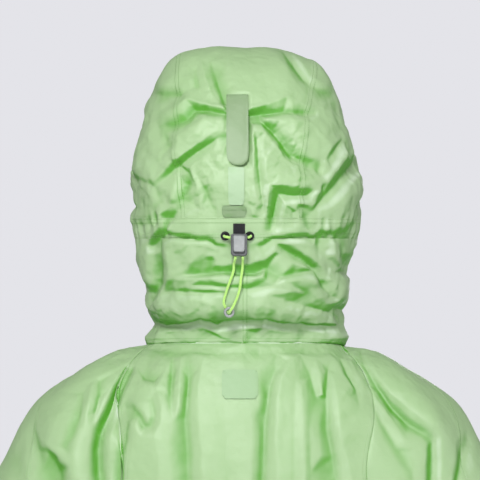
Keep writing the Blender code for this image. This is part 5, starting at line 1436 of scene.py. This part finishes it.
    def note_seams(self) -> None:
        """Keep each point's distance to the sewn seams and to those that show their stitching."""
        borders = [panel.border() for panel in self.panels]
        owner, every = together(borders)
        tree = tree_of(every)
        for number, (panel, border) in enumerate(zip(self.panels, borders)):
            sewn, owned = [], []
            for place in border:
                others = [owner[i] for _, i, _ in tree.find_range(place, self.seam_reach) if owner[i] != number]
                if others:
                    sewn.append(place)
                    if min(others) > number:
                        owned.append(place)
            panel.note("sewn", distances(panel.points, sewn))
            panel.note("seam", distances(panel.points, owned))
            if panel.node == "back":
                panel.note("behind", self.near_behind(panel.points))
        for strip in self.strips:
            top = strip.points[:, 2].max() - strip.points[:, 2]
            strip.note("seam", top + 1.0 if strip.slot is Slot.TAB else np.full(len(top), FAR))
            strip.note("sewn", np.full(len(strip.points), FAR))

    def near_behind(self, points: np.ndarray) -> np.ndarray:
        """Note where the reinforcement behind the upper back ends.

        Args:
            points: Places of the cloth.

        Returns:
            The greatest value on the reinforcement's edge, less by each millimetre away from it.
        """
        left, right, low, high = self.behind
        beside = np.maximum(left - points[:, 0], points[:, 0] - right)
        over = np.maximum(low - points[:, 2], points[:, 2] - high)
        outside = np.hypot(np.maximum(beside, 0), np.maximum(over, 0))
        away = np.where(np.maximum(beside, over) > 0, outside, -np.maximum(beside, over))
        return np.where(points[:, 1] > 0, np.clip(BEHIND_REACH - away, 0, BEHIND_REACH), 0)

    def crease(self, panel: Panel, folds: FoldField) -> None:
        """Lay the creases into a piece, and note for its finish the painted shade and painted light that each place
        takes.

        Args:
            panel: The piece.
            folds: Folds of the back.
        """
        main = CreaseProfile().heights(panel.points, panel.normals) + folds.heights(panel.points, panel.normals)
        gathers = self.gather_heights(panel.points)
        height = main + Crumple().heights(panel.points) + gathers
        for place in STILL_PLACES:
            height = place.hold(panel.points, height)
        near = np.zeros(len(panel.points))
        panel.piece.data.attributes["sewn"].data.foreach_get("value", near)
        groove = self.groove[0] * np.exp(-((near / self.groove[1]) ** 2))
        panel.points = panel.points + panel.normals * (height + groove)[:, None]
        panel.write()
        bent = np.zeros(len(panel.points) * 3)
        panel.piece.data.vertex_normals.foreach_get("vector", bent)
        # Painted shade on slopes that the creases turn from the light, painted light on those they turn towards it.
        lit_from = np.array(self.light_side) * np.where(panel.normals[:, 1:2] < 0, (1, -1, 1), (1, 1, 1))
        away = np.sum((panel.normals - bent.reshape(-1, 3)) * lit_from, axis=1)
        # Painted shade in deep creases and gathers, and under cloth that faces down.
        sunk = -np.minimum(main, 0) - 0.5 * np.minimum(gathers, 0)
        deep = self.crease_shade_share * (1 - np.exp(-sunk / self.crease_shade_depth))
        under = self.under_shade_share * smooth_step(*self.under_shade_span, -bent.reshape(-1, 3)[:, 2])
        panel.note("crease", np.clip(deep + under + self.shade_share * away, -1, 1))

    def hang_tab(self, tab: Panel) -> None:
        """Let the tab hang free of the cloth, further out at its foot and on its right edge.

        Args:
            tab: The tab.
        """
        foot = smooth_step(0, self.tab_length, tab.points[:, 2].max() - tab.points[:, 2])
        right = smooth_step(0, self.tab_right[1], self.tab_right[0] - tab.points[:, 0])
        stand = foot * (self.tab_stand[0] + self.tab_stand[1] * right)
        tab.points = tab.points + unit(tab.normals.mean(0)) * stand[:, None]
        tab.write()
        tab.note("crease", np.zeros(len(tab.points)))

    def gather_heights(self, points: np.ndarray) -> np.ndarray:
        """Find the small uneven gathers above and below the drawcord channel.

        Args:
            points: Places of the cloth.

        Returns:
            A height for each place.
        """
        start, end, count = self.gathers
        azimuth = np.degrees(np.arctan2(np.abs(points[:, 0]), points[:, 1] - self.head_axis_y))
        side = np.sign(points[:, 0])
        share = (azimuth - start) / (end - start)
        along = smooth_step(0, 0.12, share) * (1 - smooth_step(0.88, 1, share))
        uneven = 0.35 * np.sin(share * 9 + side) + 0.2 * np.sin(share * 23 + 2 * side)
        wave = np.sin(2 * math.pi * (count * share + uneven) + side)
        away = np.abs(points[:, 2] - self.channel_z)
        reach = np.exp(-np.maximum(away - self.channel_half, 0) / (13 + 5 * np.sin(share * 31 + side)))
        inside = (np.abs(points[:, 0]) < self.gather_within[0]) & (away < self.gather_within[1])
        patchy = smooth_step(-0.5, 0.5, facets(points, 31.0, 9))
        return np.where(inside, self.gather_height * patchy * along * reach * wave, 0.0)


def together(borders: list[np.ndarray]) -> tuple[np.ndarray, np.ndarray]:
    """Put the borders of several pieces into one list, with the number of the piece that each place belongs to."""
    return np.repeat(np.arange(len(borders)), [len(border) for border in borders]), np.vstack(borders)


def in_opening(points: np.ndarray) -> np.ndarray:
    """Whether each place is on the edge of the front opening, which no seam joins."""
    return (points[:, 1] < 0) & (np.abs(points[:, 0]) < 16)


def distances(points: np.ndarray, edge: Sequence[np.ndarray]) -> np.ndarray:
    """Distance from each point to an edge.

    Args:
        points: The points.
        edge: Places on the edge.

    Returns:
        The distance to the nearest place, or a far one where there is no edge.
    """
    if len(edge) == 0:
        return np.full(len(points), FAR)
    tree = tree_of(np.array(edge))
    return np.array([tree.find(point)[2] for point in points])


@dataclass(frozen=True)
class CreaseProfile:
    """How a single crease rises towards its line, and how it narrows and fades at its ends."""

    power: float = 1.7
    step: float = 5.0
    seen_span: tuple[float, float] = (0.05, 0.5)
    narrow: float = 0.55
    wide_from: float = 0.4
    faint: float = 0.15
    full_from: float = 0.22
    full_until: float = 0.7

    def heights(self, points: np.ndarray, normals: np.ndarray) -> np.ndarray:
        """How far the creases push each point out along its normal.

        Args:
            points: Places of the cloth, in millimetres.
            normals: Their outward normals.

        Returns:
            A height for each place.
        """
        height = np.zeros(len(points))
        for view, creases in CREASES.items():
            axes, facing = view.value
            seen = smooth_step(*self.seen_span, normals @ np.array(facing))
            flat = points[:, axes]
            for deep, left, right, spots in creases:
                line = smooth_line(spots, self.step)
                reach = max(left, right)
                near = np.all((flat > line.min(0) - reach) & (flat < line.max(0) + reach), axis=1)
                chosen = np.nonzero(near & (seen > 0))[0]
                if len(chosen):
                    away, place = beside_line(flat[chosen], line)
                    rise = self.rise(np.abs(away) / np.where(away > 0, left, right), place)
                    height[chosen] += deep * seen[chosen] * rise
        return height

    def rise(self, away: np.ndarray, place: np.ndarray) -> np.ndarray:
        """Share of a crease's height.

        Args:
            away: Distance from its line, as a share of its reach.
            place: How far along the line, from 0 to 1.

        Returns:
            The share for each place.
        """
        width = self.narrow + (1 - self.narrow) * smooth_step(0, self.wide_from, place)
        taper = smooth_step(0, self.full_from, place) * (1 - smooth_step(self.full_until, 1, place))
        return np.clip(1 - away / width, 0, 1) ** self.power * (self.faint + (1 - self.faint) * taper)


def beside_line(flat: np.ndarray, line: np.ndarray) -> tuple[np.ndarray, np.ndarray]:
    """How far each place lies beside a line, left of its run above 0, and how far along it.

    Args:
        flat: Places in the line's view.
        line: The line's points.

    Returns:
        The distances, and the shares of the line's length from 0 to 1.
    """
    run = run_along(line)
    nearest = np.full(len(flat), np.inf)
    signed, place = np.zeros(len(flat)), np.zeros(len(flat))
    for i in range(len(line) - 1):
        step = (line[i + 1] - line[i]) / (run[i + 1] - run[i])
        offset = flat - line[i]
        reach = np.clip(offset @ step, 0, run[i + 1] - run[i])
        gap = np.linalg.norm(offset - reach[:, None] * step, axis=1)
        side = np.where(step[0] * offset[:, 1] - step[1] * offset[:, 0] > 0, 1.0, -1.0)
        closer = gap < nearest
        nearest = np.where(closer, gap, nearest)
        signed = np.where(closer, gap * side, signed)
        place = np.where(closer, (run[i] + reach) / run[-1], place)
    return signed, place


@dataclass(frozen=True)
class Crumple:
    """Thin cloth crumpled into flat facets with straight edges, the same for pieces that meet.

    Each kind of facet has a width, a height and the number of its pattern.
    """

    broad: tuple[float, float, int] = (27.0, 1.9, 1)
    small: tuple[tuple[float, float, int], ...] = ((11.5, 1.4, 2), (6.0, 0.5, 3))
    patches: tuple[float, float, int] = (46.0, 0.45, 5)
    body_share: float = 0.35
    neck_span: tuple[float, float] = (-40.0, 10.0)
    crown_share: float = 0.5
    crown_span: tuple[float, float] = (255.0, 300.0)

    def heights(self, points: np.ndarray) -> np.ndarray:
        """Crumple the cloth, less on the body and on the crown.

        Args:
            points: Places of the cloth, in millimetres.

        Returns:
            A height for each place.
        """
        broad, first, second, patches = (
            high * facets(points, wide, pattern) for wide, high, pattern in (self.broad, *self.small, self.patches)
        )
        on_hood = self.body_share + (1 - self.body_share) * smooth_step(*self.neck_span, points[:, 2])
        on_crown = 1 - (1 - self.crown_share) * smooth_step(*self.crown_span, points[:, 2])
        return on_hood * on_crown * (broad + (1 - self.patches[1] + patches) * (first + second))


def facets(points: np.ndarray, size: float, seed: int) -> np.ndarray:
    """Values between -1 and 1 at the corners of a slanting grid, joined by flat facets.

    Args:
        points: Places, in millimetres.
        size: About how wide a facet is.
        seed: Which pattern.

    Returns:
        A value for each place.
    """
    place = points / size + seed * 7.3
    place = place + 0.28 * np.sin(1.9 * place[:, (1, 2, 0)] + seed)
    place = place + place.sum(axis=1, keepdims=True) / 3
    corner = np.floor(place).astype(np.int64)
    rest = place - corner
    order = np.argsort(-rest, axis=1)
    steps = np.take_along_axis(rest, order, axis=1)
    share = np.stack([1 - steps[:, 0], steps[:, 0] - steps[:, 1], steps[:, 1] - steps[:, 2], steps[:, 2]])
    value = np.zeros(len(points))
    for k in range(4):
        value += share[k] * corner_values(corner, seed)
        if k < 3:
            corner[np.arange(len(corner)), order[:, k]] += 1
    return value


def corner_values(corner: np.ndarray, seed: int) -> np.ndarray:
    """Settle a value for each corner of a grid.

    Args:
        corner: Whole-numbered places of the corners.
        seed: Which pattern.

    Returns:
        Values between -1 and 1.
    """
    mixed = corner @ np.array((73856093, 19349663, 83492791)) + seed * 15485863
    mixed = (mixed ^ (mixed >> 13)) * 1274126177
    return ((mixed ^ (mixed >> 16)) & 0xFFFF) / 32767.5 - 1


# ------------------------ sewing
@dataclass
class Topstitching:
    """Rows of stitches beside the seams and round the open edges."""

    pitch: float = 3.2
    length: float = 2.3
    half: float = 0.2
    dip: float = 0.1
    lift: float = 0.02
    high: float = 0.26
    seam_rows: tuple[float, ...] = (1.5, 5.8)
    hem_rows: tuple[float, ...] = (17.0, 19.5)
    front_rows: tuple[float, ...] = (6.5,)
    low: float = -640.0
    seam_gap: float = 3.2
    least_share: float = 0.75
    feel: float = 4.0

    def build(self, shell: RainShell, thread: Material) -> None:
        """Sew every row, one piece of stitching for each cloth piece.

        Args:
            shell: The finished cloth.
            thread: Finish of the thread.
        """
        owner, every = together([panel.border() for panel in shell.panels])
        tree = tree_of(every)
        for number, panel in enumerate(shell.panels):
            surface = BVHTree.FromPolygons([Vector(point) for point in panel.points], self.faces(panel))
            centres, runs, outs = [], [], []
            for loop in panel.edges:
                for place, run, inward in self.spots(panel, loop):
                    others = [owner[i] for _, i, _ in tree.find_range(place, self.seam_gap) if owner[i] != number]
                    if others and min(others) < number:
                        continue
                    rows = self.seam_rows if others else self.hem_rows if place[2] < self.low else self.front_rows
                    for row in rows:
                        spot, normal, _, _ = surface.find_nearest(Vector(place + inward * row))
                        if (spot - Vector(place)).length < row * self.least_share:
                            continue
                        centres.append(np.array(spot))
                        runs.append(run)
                        outs.append(np.array(normal))
            if centres:
                self.sew(f"{panel.node}_topstitching", np.array(centres), np.array(runs), np.array(outs), thread)

    def faces(self, panel: Panel) -> list[tuple[int, ...]]:
        """Point numbers of the faces on the cloth's outer side, whose points come first in its mesh."""
        count = len(panel.points)
        return [tuple(face.vertices) for face in panel.piece.data.polygons if max(face.vertices) < count]

    def spots(self, panel: Panel, loop: np.ndarray) -> Iterable[tuple[np.ndarray, np.ndarray, np.ndarray]]:
        """Walk along an edge.

        Args:
            panel: The piece.
            loop: Point numbers along its edge.

        Yields:
            A place, the way along the edge and the way into the cloth.
        """
        closed = np.append(loop, loop[0])
        places, normals = panel.points[closed], panel.normals[closed]
        run = run_along(places)
        cloth = tree_of(panel.points)
        for value in np.arange(self.pitch / 2, run[-1], self.pitch):
            place = np.array([np.interp(value, run, places[:, axis]) for axis in range(3)])
            index = min(int(np.searchsorted(run, value, side="right")) - 1, len(run) - 2)
            way = unit(places[index + 1] - places[index])
            inward = unit(np.cross(normals[index], way))
            ahead, back = (cloth.find(place + way_in * self.feel)[2] for way_in in (inward, -inward))
            yield place, way, inward if ahead < back else -inward

    def sew(self, name: str, centres: np.ndarray, runs: np.ndarray, outs: np.ndarray, thread: Material) -> None:
        """Make one stitch at each centre.

        Args:
            name: Name of the piece.
            centres: Middles of the stitches on the cloth.
            runs: Way along each stitch.
            outs: Outward normal at each stitch.
            thread: Finish of the thread.
        """
        beside = unit(np.cross(outs, runs))
        half, reach = self.half, self.length / 2
        corners = [
            centres + runs * reach - outs * self.dip,
            centres + beside * half + outs * self.lift,
            centres + outs * self.high,
            centres - beside * half + outs * self.lift,
            centres - outs * half,
            centres - runs * reach - outs * self.dip,
        ]
        vertices = np.stack(corners, axis=1).reshape(-1, 3) * MM
        pattern = [(0, i, i % 4 + 1) for i in (1, 2, 3, 4)] + [(5, i % 4 + 1, i) for i in (1, 2, 3, 4)]
        faces = [tuple(6 * k + i for i in face) for k in range(len(centres)) for face in pattern]
        mesh = bpy.data.meshes.new(name)
        mesh.from_pydata(vertices.tolist(), [], faces)
        mesh.validate()
        piece = new_piece(name, mesh)
        face_outwards(piece)
        bpy.ops.object.shade_smooth()
        wear(piece, (thread,))
        settle(piece, "jacket", Slot.SHELL)


# ------------------------ drawcord and its lock
@dataclass
class Drawcord:
    """The loop below the lock, the two short runs from the eyelets, and the ring at the end."""

    diameter: float = 3.0
    sides: int = 16
    step: float = 1.4
    loop: tuple[tuple[float, float, float], ...] = (
        (7.2, 113.86, 98.7), (7.2, 113.8, 96.3), (8.8, 106.7, 90), (9.4, 106.7, 82), (12.4, 110.9, 73),
        (16, 109.6, 63), (18.8, 107.3, 54), (20.2, 106.7, 47), (18.8, 105.8, 42.4), (16.8, 105.5, 38.6),
        (14.6, 108.9, 35.3), (12.6, 112.9, 38), (9.8, 113.7, 42.6), (5.4, 110.3, 52), (2.4, 110.5, 62),
        (1, 111.4, 73), (-0.4, 107.2, 82), (-1, 107.3, 90), (-1.2, 113.8, 96.3), (-1.2, 113.86, 98.7),
    )
    loop_length: float = 0.154
    feeds: dict[str, tuple[tuple[float, float, float], ...]] = field(
        default_factory=lambda: {
            "cord_feed_left": (
                (19.8, 107.7, 121.5), (19.8, 108.9, 121.4), (19.0, 111.6, 120.9), (16.6, 113.5, 120.3),
                (14.0, 113.86, 119.8), (12.5, 113.86, 119.7),
            ),
            "cord_feed_right": (
                (-10.1, 108.0, 121.5), (-10.1, 110.4, 121.4), (-9.6, 112.4, 120.8), (-8.4, 113.6, 120.2),
                (-7.0, 113.86, 119.8), (-6.5, 113.86, 119.7),
            ),
        }
    )

    def build(self, braid: Material) -> dict[str, bpy.types.Object]:
        """Lay the cords.

        Args:
            braid: Finish of the cord.

        Returns:
            The loop and the two short runs by the names of their nodes.
        """
        made = {}
        for node, points in {"cord_loop": self.loop, **self.feeds}.items():
            line = smooth_line(points, self.step)
            piece = tube(f"{node}_braid", line, self.diameter / 2, self.sides)
            wear(piece, (braid,))
            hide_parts(node)
            made[node] = settle(piece, "jacket", Slot.CORD)
        return made

    def declare(self, made: dict[str, bpy.types.Object], ring: bpy.types.Object) -> None:
        """Log how long the cord's loop is.

        Args:
            made: The loop and the short runs by the names of their nodes; not used.
            ring: The ring on the loop; not used.
        """
        line = smooth_line(self.loop, self.step) * MM
        log.info("cord loop is %.4f m long", run_along(line)[-1])


def tube(name: str, line: np.ndarray, radius: float, sides: int) -> bpy.types.Object:
    """Round tube along a line, closed at both ends, with a map that runs along it.

    Args:
        name: Name of the piece.
        line: Places on its centre line, in millimetres.
        radius: Of the tube.
        sides: How many faces it has round it.

    Returns:
        The tube.
    """
    ways = unit(np.gradient(line, axis=0))
    across = unit(np.cross(ways[0], (0.31, 0.2, 0.93)))
    rings = []
    for place, way in zip(line, ways):
        across = unit(across - way * (across @ way))
        up = np.cross(way, across)
        turn = np.linspace(0, 2 * math.pi, sides, endpoint=False)[:, None]
        rings.append(place + radius * (np.cos(turn) * across + np.sin(turn) * up))
    run = run_along(line) / (2 * math.pi * radius)
    shape = bmesh.new()
    loops = [[shape.verts.new(Vector(point) * MM) for point in ring] for ring in rings]
    mapping = shape.loops.layers.uv.new("run")
    for k in range(len(loops) - 1):
        for i in range(sides):
            j = (i + 1) % sides
            face = shape.faces.new((loops[k][i], loops[k][j], loops[k + 1][j], loops[k + 1][i]))
            face.smooth = True
            corners = ((i, k), (i + 1, k), (i + 1, k + 1), (i, k + 1))
            for loop, (around, along) in zip(face.loops, corners):
                loop[mapping].uv = (around / sides, run[along])
    shape.faces.new(loops[0][::-1])
    shape.faces.new(loops[-1])
    bmesh.ops.recalc_face_normals(shape, faces=shape.faces)
    mesh = bpy.data.meshes.new(name)
    shape.to_mesh(mesh)
    shape.free()
    return new_piece(name, mesh)


@dataclass
class CordLock:
    """Cord lock, its plate, the webbing behind it, the eyelets and the ring on the cord."""

    ring_major: float = 4.55
    ring_minor: float = 1.5
    ring_faces: tuple[int, int] = (56, 20)
    ring_flat: float = 0.25
    webbing_thick: float = 1.2
    hole_share: float = 0.8
    hole_steps: tuple[float, ...] = (0.8, 0.6, 0.6)
    hole_sides: int = 40
    hole_place: float = 0.6
    hole_sink: float = 0.2
    hole_thick: float = 0.3
    hole_angle: float = 40.0

    def build_ring(self, plastic: Material) -> bpy.types.Object:
        """Ring on the end of the cord, with a flat outer face.

        Args:
            plastic: Its finish.

        Returns:
            The ring.
        """
        low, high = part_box("cord_ring")
        bpy.ops.object.select_all(action="DESELECT")
        bpy.ops.mesh.primitive_torus_add(
            major_radius=self.ring_major * MM, minor_radius=self.ring_minor * MM,
            major_segments=self.ring_faces[0], minor_segments=self.ring_faces[1],
            location=(low + high) / 2, rotation=(math.pi / 2, 0, 0),
        )
        ring = bpy.context.object
        bpy.ops.object.transform_apply(location=True, rotation=True, scale=True)
        with edit_mode():
            bpy.ops.mesh.select_all(action="DESELECT")
        outer = high.y - self.ring_flat * self.ring_minor * MM
        for vertex in ring.data.vertices:
            vertex.select = vertex.co.y > outer
        with edit_mode():
            bpy.ops.transform.resize(value=(1, 0, 1), center_override=(0, outer, 0))
        bpy.ops.object.shade_smooth()
        ring.name = ring.data.name = "cord_ring_smooth"
        wear(ring, (plastic,))
        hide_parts("cord_ring")
        return settle(ring, "jacket", Slot.PLASTIC)

    def build_webbing(self, woven: Material) -> None:
        """Make the black webbing that carries the lock.

        Args:
            woven: Its finish.
        """
        strap = Panel(
            "webbing_loop", (0.0136, 0.027), held="laid", level=2, slot=Slot.WEBBING, thick=self.webbing_thick,
            rests_on=("hood_channel_cloth",),
        )
        strap.cut()
        strap.finish((woven,))

    def build_hole_shade(self, dark: Material) -> None:
        """Make dished near-black discs in the two eyelets, round the cord: painted shade that stands for the dark
        inside of their holes.

        Args:
            dark: Their finish.
        """
        for word in ("left", "right"):
            low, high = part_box(f"eyelet_{word}")
            middle = (low + high) / 2
            radius = (high.x - low.x) / 2 * self.hole_share
            bpy.ops.object.select_all(action="DESELECT")
            bpy.ops.mesh.primitive_circle_add(
                vertices=self.hole_sides, radius=radius, fill_type="NGON", rotation=(-math.pi / 2, 0, 0),
                location=(middle.x, low.y + (high.y - low.y) * self.hole_place, middle.z),
            )
            shade_disc = bpy.context.object
            bpy.ops.object.transform_apply(location=True, rotation=True, scale=True)
            with edit_mode():
                bpy.ops.mesh.select_all(action="SELECT")
                for share in self.hole_steps:
                    bpy.ops.mesh.inset(thickness=radius * (1 - share) / 2)
                    bpy.ops.transform.translate(value=(0, -self.hole_sink * MM, 0))
            apply_modifier(shade_disc, "SOLIDIFY", thickness=self.hole_thick * MM, offset=-1.0)
            bpy.ops.object.shade_smooth_by_angle(angle=math.radians(self.hole_angle))
            # The near-black disc is painted shade for the inside of the eyelet's hole.
            shade_disc.name = shade_disc.data.name = f"eyelet_hole_shade_{word}"
            wear(shade_disc, (dark,))
            settle(shade_disc, "jacket", Slot.PLASTIC)

    def dress(self, body: Material, plate: Material, eyelet: Material) -> None:
        """Finish the lock's own solids.

        Args:
            body: Finish of the lock's body.
            plate: Finish of its press plate.
            eyelet: Finish of the eyelets.
        """
        for node, finish in (
            ("lock_body", body), ("lock_plate", plate), ("eyelet_left", eyelet), ("eyelet_right", eyelet),
        ):
            wear(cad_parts[node], (finish,))


# ------------------------ front zip
@dataclass
class FrontZip:
    """Tapes, teeth and the finish of the slider, its pull and the box."""

    pitch: float = 3.0
    tooth: tuple[float, float, float] = (3.4, 1.8, 1.7)
    grip: tuple[float, float] = (0.5, 0.35)
    head: float = 0.7
    head_share: tuple[float, float] = (0.8, 0.6)
    bevel: float = 0.18
    inner_half: float = 0.4
    end_gap: float = 2.0
    clear: float = 1.0
    tape_thick: float = 0.8

    def build(self, woven: Material, teeth: Material, metal: Material) -> None:
        """Make the tapes and the teeth, and finish the solids.

        Args:
            woven: Finish of the tapes.
            teeth: Finish of the teeth.
            metal: Finish of the slider, pull and box.
        """
        for word in ("left", "right"):
            tape = Panel(
                f"zip_tape_{word}", (0.011, 0.79), 0.0086, "hung", 2, Slot.ZIP_TAPE, self.tape_thick,
                (f"front_{word}_cloth",),
            )
            tape.cut()
            self.lay_teeth(word, tape, teeth)
            tape.finish((woven,))
        for node in ("zip_slider", "zip_pull", "zip_box"):
            wear(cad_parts[node], (metal,))

    def lay_teeth(self, word: str, tape: Panel, finish: Material) -> None:
        """Teeth down one tape, left out behind the slider and the box.

        Args:
            word: Side of the tape.
            tape: The tape's cloth.
            finish: Finish of the teeth.
        """
        inner = tape.points[np.abs(tape.points[:, 0]) < self.inner_half]
        inner = inner[np.argsort(-inner[:, 2])]
        side = 1.0 if word == "left" else -1.0
        ends = (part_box("zip_slider"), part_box("zip_box"))
        shift = self.pitch / 2 if side < 0 else 0.0
        blocked = [(low.z / MM - self.clear, high.z / MM + self.clear) for low, high in ends]
        tooth = self.one_tooth()
        vertices, faces = [], []
        for z in np.arange(inner[0, 2] - self.end_gap - shift, inner[-1, 2] + self.end_gap, -self.pitch):
            if any(low < z < high for low, high in blocked):
                continue
            y = float(np.interp(-z, -inner[:, 2], inner[:, 1]))
            base = len(vertices)
            vertices += [(x * side * MM, (y - depth) * MM, (z + rise) * MM) for x, depth, rise in tooth[0]]
            faces += [tuple(base + i for i in face) for face in tooth[1]]
        mesh = bpy.data.meshes.new(f"zip_teeth_{word}")
        mesh.from_pydata(vertices, [], faces)
        piece = new_piece(f"zip_teeth_{word}", mesh)
        face_outwards(piece)
        wear(piece, (finish,))
        settle(piece, "jacket", Slot.PLASTIC)

    def choose_end(self, block: bpy.types.Object) -> None:
        """Select the face that the tooth's head stands out of."""
        for face in block.data.polygons:
            face.select = face.normal.x < -0.9

    def one_tooth(self) -> tuple[list[tuple[float, float, float]], list[tuple[int, ...]]]:
        """Model one moulded tooth, a block with a narrower head that stands out of it.

        Returns:
            Its points in millimetres, and the point numbers of its faces.
        """
        wide, deep, high = self.tooth
        bpy.ops.object.select_all(action="DESELECT")
        bpy.ops.mesh.primitive_cube_add(size=1, location=(wide / 2 - self.grip[0], deep / 2 - self.grip[1], 0))
        block = bpy.context.object
        block.scale = (wide, deep, high)
        bpy.ops.object.transform_apply(location=True, rotation=True, scale=True)
        self.choose_end(block)
        with edit_mode():
            bpy.ops.mesh.select_mode(type="FACE")
        self.choose_end(block)
        with edit_mode():
            bpy.ops.mesh.extrude_region_move(TRANSFORM_OT_translate={"value": (-self.head, 0, 0)})
            bpy.ops.transform.resize(value=(1, *self.head_share))
        apply_modifier(block, "BEVEL", width=self.bevel, segments=1)
        points = [tuple(vertex.co) for vertex in block.data.vertices]
        faces = [tuple(face.vertices) for face in block.data.polygons]
        bpy.data.objects.remove(block)
        return points, faces


# ------------------------ studio
@dataclass(frozen=True)
class Softbox:
    """Square area light aimed at the jacket's upper half: its place, its width in metres and its watts."""

    name: str
    place: tuple[float, float, float]
    width: float
    power: float
    aim: tuple[float, float, float] = (0.0, 0.0, 0.02)

    def hang(self) -> None:
        """Hang the light where the camera doesn't see it."""
        light = bpy.data.lights.new(self.name, "AREA")
        light.size = self.width
        light.energy = self.power
        lamp = bpy.data.objects.new(self.name, light)
        bpy.context.scene.collection.objects.link(lamp)
        lamp.location = self.place
        lamp.rotation_euler = (Vector(self.aim) - Vector(self.place)).to_track_quat("-Z", "Y").to_euler()
        lamp.visible_camera = False


@dataclass
class Studio:
    """Camera of the photograph, soft lights, a pale floor and a pale surround."""

    camera_place: tuple[float, float, float] = (0.002, 2.6, 0.117)
    lens: float = 166.7
    floor_height: float = -0.745
    floor_radius: float = 4.6
    surround_radius: float = 16.0
    surround: Colour = (0.775, 0.775, 0.815, 1)
    air: Colour = (0.97, 1.0, 0.95, 1)
    ambient: float = 0.3
    softboxes: tuple[Softbox, ...] = (
        Softbox("key", (0.4, 2.3, 1.55), 0.6, 58.0),
        Softbox("fill", (-0.5, 2.9, -0.1), 1.0, 17.0),
        Softbox("top", (-0.1, 0.5, 2.4), 1.0, 2.5),
        Softbox("left_side", (2.3, 0.5, 0.4), 1.0, 5.0),
        Softbox("right_side", (-2.3, 0.5, 0.4), 1.0, 9.0),
        Softbox("front_key", (-0.3, -2.8, -0.1), 0.9, 22.0),
    )

    def set_camera(self) -> None:
        """Camera behind the jacket, level, as in the photograph."""
        camera = bpy.data.objects.new("camera", bpy.data.cameras.new("camera"))
        bpy.context.scene.collection.objects.link(camera)
        camera.location = self.camera_place
        camera.rotation_euler = (math.pi / 2, 0, math.pi)
        camera.data.lens = self.lens
        camera.data.sensor_width = 36.0
        camera.data.clip_end = 100
        bpy.context.scene.camera = camera

    def light(self) -> None:
        """World light and softboxes."""
        world = bpy.context.scene.world or bpy.data.worlds.new("studio")
        bpy.context.scene.world = world
        world.use_nodes = True
        bpy.context.scene.view_settings.view_transform = "Standard"
        background = world.node_tree.nodes["Background"]
        background.inputs["Color"].default_value = self.air
        background.inputs["Strength"].default_value = self.ambient
        for softbox in self.softboxes:
            softbox.hang()

    def build_stage(self) -> None:
        """Floor and surround; the surround lights nothing."""
        bpy.ops.object.select_all(action="DESELECT")
        bpy.ops.mesh.primitive_circle_add(
            vertices=96, radius=self.floor_radius, fill_type="NGON", location=(0, 0, self.floor_height)
        )
        floor = bpy.context.object
        floor.name = "floor"
        bench = Bench("pale_floor")
        cloud = bench.noise(1.5, 3.0)
        colour = bench.mix(cloud, (0.74, 0.74, 0.76, 1), (0.80, 0.80, 0.82, 1))
        wear(floor, (bench.finish(colour, 0.8, bench.bump(bench.noise(300.0), 0.0002)),))
        bpy.ops.mesh.primitive_uv_sphere_add(segments=48, ring_count=24, radius=self.surround_radius)
        dome = bpy.context.object
        dome.name = "surround"
        bench = Bench("pale_surround")
        glow = bench.add("Emission")
        glow.inputs["Color"].default_value = self.surround
        output = bench.nodes["Material Output"]
        bench.links.new(glow.outputs[0], output.inputs["Surface"])
        wear(dome, (bench.material,))
        dome.visible_diffuse = dome.visible_glossy = dome.visible_transmission = False
        dome.visible_shadow = False
        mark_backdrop(floor, dome)


# ------------------------ the jacket
def main() -> None:
    """Build the studio and every piece of the jacket in order."""
    logging.basicConfig(level=logging.INFO, format="%(name)s: %(message)s")
    studio = Studio()
    studio.set_camera()
    cord, lock = Drawcord(), CordLock()
    plate_grey, eyelet_dark = PLATE_GREY.make(), EYELET_DARK.make()
    made = cord.build(Braid().make())
    ring = lock.build_ring(plate_grey)
    cord.declare(made, ring)
    lock.build_webbing(BLACK_WEBBING.make())
    lock.dress(LOCK_GREY.make(), plate_grey, eyelet_dark)
    lock.build_hole_shade(eyelet_dark)
    shell = RainShell()
    finishes = {Slot.SHELL: SHELL_NYLON.make(), Slot.TAB: TAB_NYLON.make(), Slot.PALE: PALE_NYLON.make()}
    shell.build(finishes, Lining().make(), BARE_PATCH.make())
    Topstitching().build(shell, Thread().make())
    FrontZip().build(ZIP_TAPE.make(), ZIP_GREEN.make(), ZIP_GREY.make())
    studio.light()
    studio.build_stage()
    [[list(corner) for corner in box] for box in (FRAME_BOX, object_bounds())]


if __name__ == "__main__":
    main()
